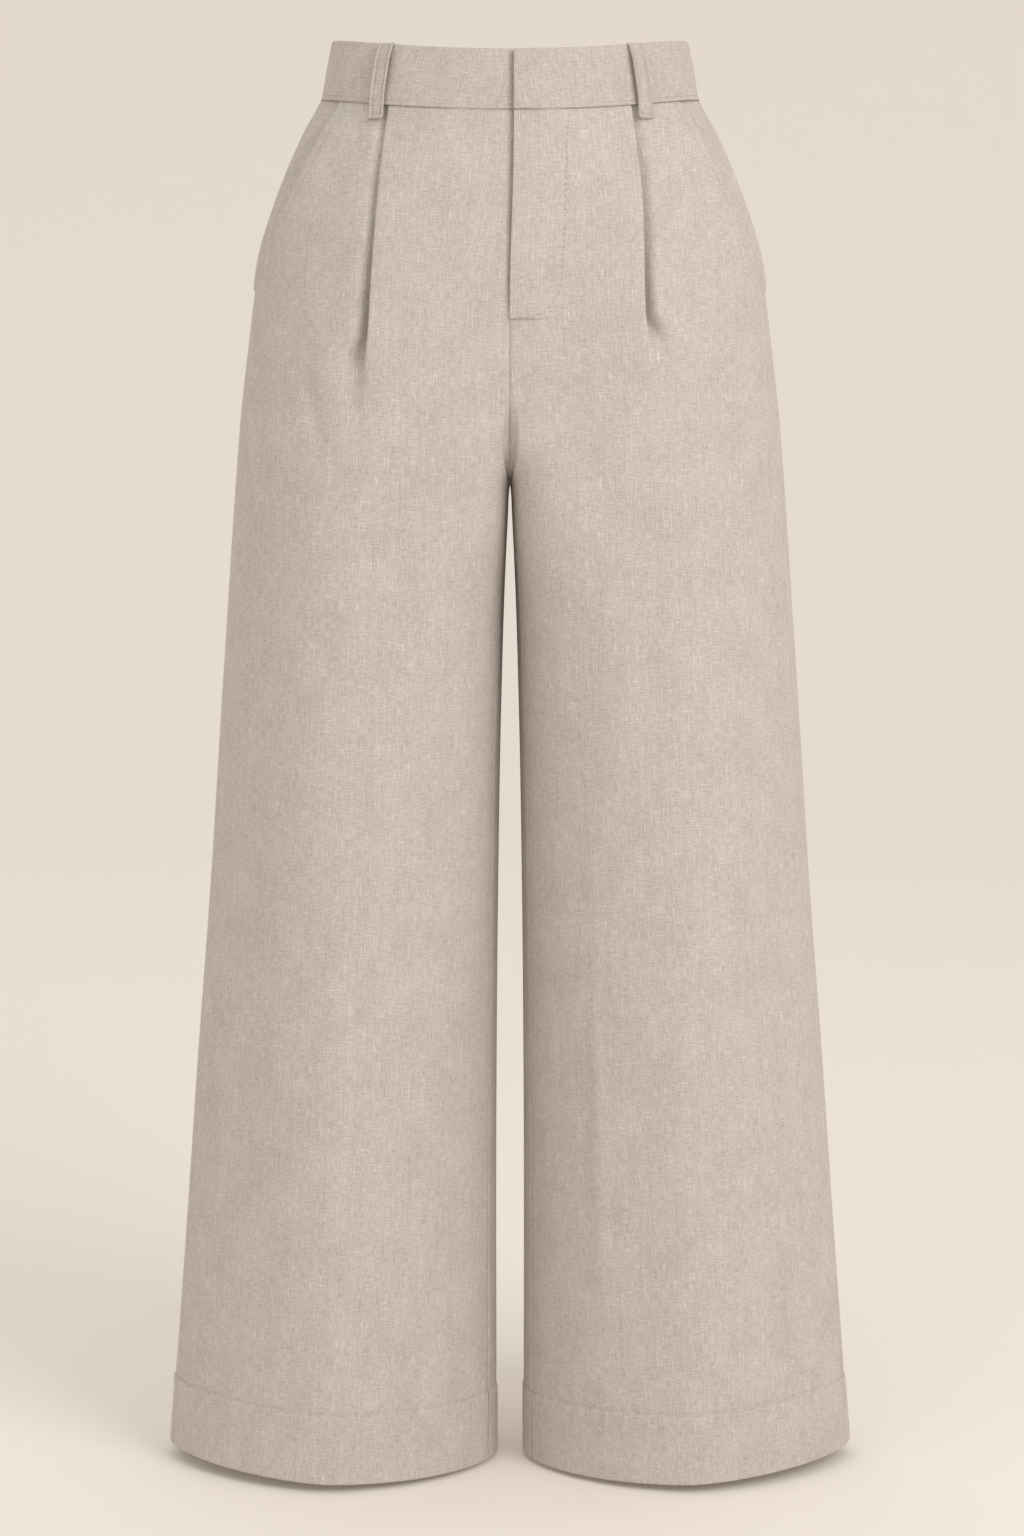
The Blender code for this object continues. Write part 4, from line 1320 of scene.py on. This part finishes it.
# A belt loop: a folded strap with stitched edges, bowed out over the band.
def loopRows(strap):
    part = strap["part"]
    half = loop["width"] / 2
    across = np.array(loop["columns"]) * loop["width"]
    across = np.concatenate((across, loop["width"] - across[::-1][1:])) - half
    fromEdge = half - np.abs(across)
    rim = hump(fromEdge - loop["rimAt"], loop["rimReach"])
    rim = rim - hump(fromEdge - loop["stitchIn"], loop["stitchReach"])
    (ridgeAt, ridgeReach), (grooveAt, grooveReach) = loop["footRidge"], loop["footGroove"]
    rows = []
    for index in range(loop["rows"] + 1):
        share = index / loop["rows"]
        share = share + loop["crowd"] * math.sin(2 * math.pi * share)
        height = loop["top"] + (loop["foot"] - loop["top"]) * share
        section = Section(height, part, -loop["width"])
        middle = section.atX(loopX(strap, height))
        bow = loop["bow"][part] * smooth(share / loop["topBend"])
        bow *= smooth((1.0 - share) / loop["footBend"])
        fromFoot = height - loop["foot"]
        wall = roundEdge(fromEdge, loop["wall"]) * min(1.0, 0.25 + fromFoot / loop["footEdge"])
        # The foot is folded under: a ridge, then a groove where it is tacked down.
        folded = 2.0 * hump(fromFoot - ridgeAt, ridgeReach) - hump(fromFoot - grooveAt, grooveReach)
        out = loop["seat"] + bow + loop["wall"] - (loop["wall"] - wall) / 2
        out += loop["rim"] * (rim + folded)
        out -= loop["tuck"] * smooth(1.0 - (loop["top"] - height) / loop["tuckReach"]) ** 2
        row = clothRow(section, middle + across, out, wall, 1.0 if part == "front" else -1.0)
        for face in row.faces:
            face[:, 2] = section.drop(np.array([middle]))[0]
        rows.append(row)
    return rows


def makeBeltLoops():
    made = {}
    for place, strap in enumerate(tableRows(beltLoops)):
        name, mirror, back = strap["name"], strap["mirror"], strap["part"] == "back"
        made[name] = loopRows(strap)
        shift = (11.0 + place * 0.7, 0.5 + place * 0.37)
        makePiece(name, made[name], "band_linen", shift, mirror, back)
    return made


loopGrids = makeBeltLoops()
print("belt loops made")

# Stitches. Each run is a line on the cloth, set with threads and, between them, needle holes
# that are dark beads of painted shade.

stitchRuns = (
    ("name", "spacing", "length", "width", "holeLength", "holeWidth"),
    ("hem", 0.0023, 0.0012, 0.00050, 0.00085, 0.00075),
    ("band", 0.0023, 0.0012, 0.00050, 0.00085, 0.00075),
    ("fly", 0.0044, 0.0026, 0.00055, 0.00120, 0.00100),
    ("pocket", 0.0029, 0.0017, 0.00055, 0.00090, 0.00075),
    ("loop", 0.0024, 0.0013, 0.00045, 0.00080, 0.00070),
    ("elastic", 0.0028, 0.0016, 0.00050, 0.00090, 0.00080),
    ("tack", 0.00075, 0.0006, 0.00055, 0.00040, 0.00040),
)
stitch = {
    "threadLift": 0.00003,
    "holeLift": -0.00016,
    "uneven": 0.15,
    "sides": 6,
    "rings": 4,
    "hemBelow": 0.0004,
    "pocketAbove": 0.0030,
    "tacks": (-0.0300, -0.0335),  # two short bars across the top of the pocket's edge
    "tackFrom": 0.0012,
    # The J stitch in two stretches: heights it runs between, and how many points.
    "jStretches": ((-0.0345, -0.1508, 60), (-0.1520, -0.1806, 40)),
    "jOut": (0.12, -0.99, 0.0),
}


# Small beads along every line of the mesh they are put on: threads, or needle holes of painted
# shade.
def makeStitchNodes():
    tree = bpy.data.node_groups.new("run of stitches", "GeometryNodeTree")
    face = tree.interface
    face.new_socket("Lines", in_out="INPUT", socket_type="NodeSocketGeometry")
    names = {}
    for name, kind in (
        ("Spacing", "NodeSocketFloat"),
        ("Length", "NodeSocketFloat"),
        ("Width", "NodeSocketFloat"),
        ("Seed", "NodeSocketInt"),
        ("Material", "NodeSocketMaterial"),
    ):
        names[name] = face.new_socket(name, in_out="INPUT", socket_type=kind).identifier
    face.new_socket("Stitches", in_out="OUTPUT", socket_type="NodeSocketGeometry")
    given = addNode(tree, "NodeGroupInput").outputs

    def step(kind, inputs, **settings):
        return addNode(tree, kind, inputs, **settings).outputs[0]

    curve = step("GeometryNodeMeshToCurve", {0: given["Lines"]})
    inputs = {"Curve": curve, "Length": given["Spacing"]}
    spaced = step("GeometryNodeResampleCurve", inputs, mode="LENGTH")
    inputs = {"Segments": stitch["sides"], "Rings": stitch["rings"], "Radius": 0.5}
    bead = step("GeometryNodeMeshUVSphere", inputs)
    tangent = step("GeometryNodeInputTangent", {})
    turned = step("FunctionNodeAlignRotationToVector", {"Vector": tangent}, axis="X")
    inputs = {"X": given["Length"], "Y": given["Width"], "Z": given["Width"]}
    size = step("ShaderNodeCombineXYZ", inputs)
    least, most = [(1.0 + sign * stitch["uneven"],) * 3 for sign in (-1, 1)]
    inputs = {0: least, 1: most, "Seed": given["Seed"]}
    uneven = step("FunctionNodeRandomValue", inputs, data_type="FLOAT_VECTOR")
    sized = step("ShaderNodeVectorMath", {0: size, 1: uneven}, operation="MULTIPLY")
    inputs = {"Points": spaced, "Instance": bead, "Rotation": turned, "Scale": sized}
    put = step("GeometryNodeInstanceOnPoints", inputs)
    smoothed = step("GeometryNodeSetShadeSmooth", {0: put})
    real = step("GeometryNodeRealizeInstances", {0: smoothed})
    made = step("GeometryNodeSetMaterial", {0: real, "Material": given["Material"]})
    addNode(tree, "NodeGroupOutput", {0: made})
    return tree, names


# A plain mesh of beads along these lines.
def beads(nodes, lines, spacing, length, width, material, seed):
    tree, names = nodes
    starts = np.cumsum([0] + [len(line) for line in lines])
    spans = [range(low, high - 1) for low, high in zip(starts, starts[1:])]
    edges = [(point, point + 1) for span in spans for point in span]
    mesh = bpy.data.meshes.new("stitch lines")
    mesh.from_pydata(np.concatenate(lines).tolist(), edges, [])
    holder = addObject("stitch lines", mesh)
    modifier = holder.modifiers.new("stitches", "NODES")
    modifier.node_group = tree
    values = {"Spacing": spacing, "Length": length, "Width": width, "Seed": seed}
    for name, value in (values | {"Material": material}).items():
        modifier[names[name]] = value
    bpy.context.view_layer.update()
    finished = holder.evaluated_get(bpy.context.evaluated_depsgraph_get())
    made = bpy.data.meshes.new_from_object(finished)
    bpy.data.objects.remove(holder)
    return made


# A line without its first stretch.
def later(line, distance):
    steps = np.linalg.norm(np.diff(line, axis=0), axis=1)
    along = np.concatenate(([0.0], np.cumsum(steps)))
    stops = np.concatenate(([distance], along[along > distance]))
    return np.stack([np.interp(stops, along, line[:, axis]) for axis in range(3)], axis=1)


# A line and its outward directions, put on the left side where mirror is true.
def mirrored(points, normals, mirror):
    flip = (-1.0 if mirror else 1.0, 1.0, 1.0)
    return np.array(points) * flip, np.array(normals) * flip


# The points and outward directions along the outside of the row nearest a height.
def onRow(rows, height, mirror, keep=None):
    row = min(rows, key=lambda row: abs(row.height - height))
    kept = slice(None) if keep is None else row.faces[0][:, 0] > keep
    return mirrored(row.faces[0][kept], row.normal[kept], mirror)


# The J stitch, from the band down beside the fly and round to its end.
def flyLine():
    heights = np.concatenate([np.linspace(*stretch) for stretch in stitch["jStretches"]])
    across = np.interp(heights, *np.array(sorted(jStitch[1:])).T)
    count = panel["innerColumns"] + panel["bendColumns"] + 12  # columns that reach past the stitch
    faces = [row.faces[0][-count:][::-1] for row in frontRows["right"] if row.height > -0.2100]
    points = []
    for height, x in zip(heights, across):
        depths, levels = [
            [np.interp(x, face[:, 0], face[:, axis]) for face in faces[::-1]] for axis in (1, 2)
        ]
        points.append((x, np.interp(height, levels, depths), height))
    return np.array(points), np.array([stitch["jOut"]] * len(points))


# A line at an even distance from the slant pocket's edge.
def besideEdge(rows, distance, low, mirror):
    points, normals = [], []
    count = len(edgeColumns) + len(pocketColumns)
    for row in rows:
        if low < row.height < band["seam"] - 0.0012:
            along = row.along[:count] - row.along[0]
            face = row.faces[0][:count]
            points.append([np.interp(distance, along, face[:, axis]) for axis in range(3)])
            normals.append(row.normal[:count].mean(axis=0))
    return mirrored(points, normals, mirror)


# Every line of stitches, by its run, with the outward direction at each point.
def stitchPaths():
    paths = {run["name"]: [] for run in tableRows(stitchRuns)}
    hem = panel["hemLine"] - stitch["hemBelow"]
    bandLine = band["seam"] + band["grooveAt"]
    for side in ("left", "right"):
        mirror = side == "left"
        front = frontRows[side]
        paths["hem"] += [onRow(front, hem, mirror), onRow(backRows[side], hem, mirror)]
        paths["band"].append(onRow(bandRows[side], bandLine, mirror, -0.0020))
        low = pocket["end"] + stitch["pocketAbove"]
        paths["pocket"].append(besideEdge(front, pocket["stitchIn"], low, mirror))
        for top in stitch["tacks"]:
            ends = [
                besideEdge(front, distance, top - 0.0014, mirror)
                for distance in (stitch["tackFrom"], pocket["stitchIn"])
            ]
            paths["tack"].append([np.array([end[place][-1] for end in ends]) for place in (0, 1)])
    paths["band"].append(onRow(bandRows["back"], bandLine, True))
    paths["elastic"] += [onRow(bandRows["back"], line, True) for line in elastic["lines"]]
    paths["fly"].append(flyLine())
    for strap in tableRows(beltLoops):
        rows = loopGrids[strap["name"]][2:-2]
        for column in (loop["stitchColumn"], -1 - loop["stitchColumn"]):
            points = [row.faces[0][column] for row in rows]
            normals = [row.normal[column] for row in rows]
            paths["loop"].append(mirrored(points, normals, strap["mirror"]))
        foot = rows[-2]
        paths["tack"].append(mirrored(foot.faces[0][2:-2], foot.normal[2:-2], strap["mirror"]))
    return paths


def makeStitching():
    nodes = makeStitchNodes()
    whole = bmesh.new()
    paths = stitchPaths()
    for seed, run in enumerate(tableRows(stitchRuns)):
        spacing, lines = run["spacing"], paths[run["name"]]
        threads = [points + normals * stitch["threadLift"] for points, normals in lines]
        # The needle holes sit a little into the cloth: dark beads of painted shade between the
        # threads.
        holeShadeLines = [points + normals * stitch["holeLift"] for points, normals in lines]
        holeShadeLines = [later(line, spacing / 2) for line in holeShadeLines]
        sizes = (run["length"], run["width"]), (run["holeLength"], run["holeWidth"])
        made = (
            beads(nodes, threads, spacing, *sizes[0], sewingThread, seed),
            beads(nodes, holeShadeLines, spacing, *sizes[1], needleHoleShade, seed + 20),
        )
        for slot, mesh in enumerate(made):
            for polygon in mesh.polygons:
                polygon.material_index = slot
            whole.from_mesh(mesh)
            bpy.data.meshes.remove(mesh)
    mesh = bpy.data.meshes.new("stitching")
    whole.to_mesh(mesh)
    whole.free()
    mesh.materials.append(sewingThread)
    mesh.materials.append(needleHoleShade)
    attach(addObject("stitching", mesh), "root")
    print("stitches:", len(mesh.polygons), "faces")


makeStitching()
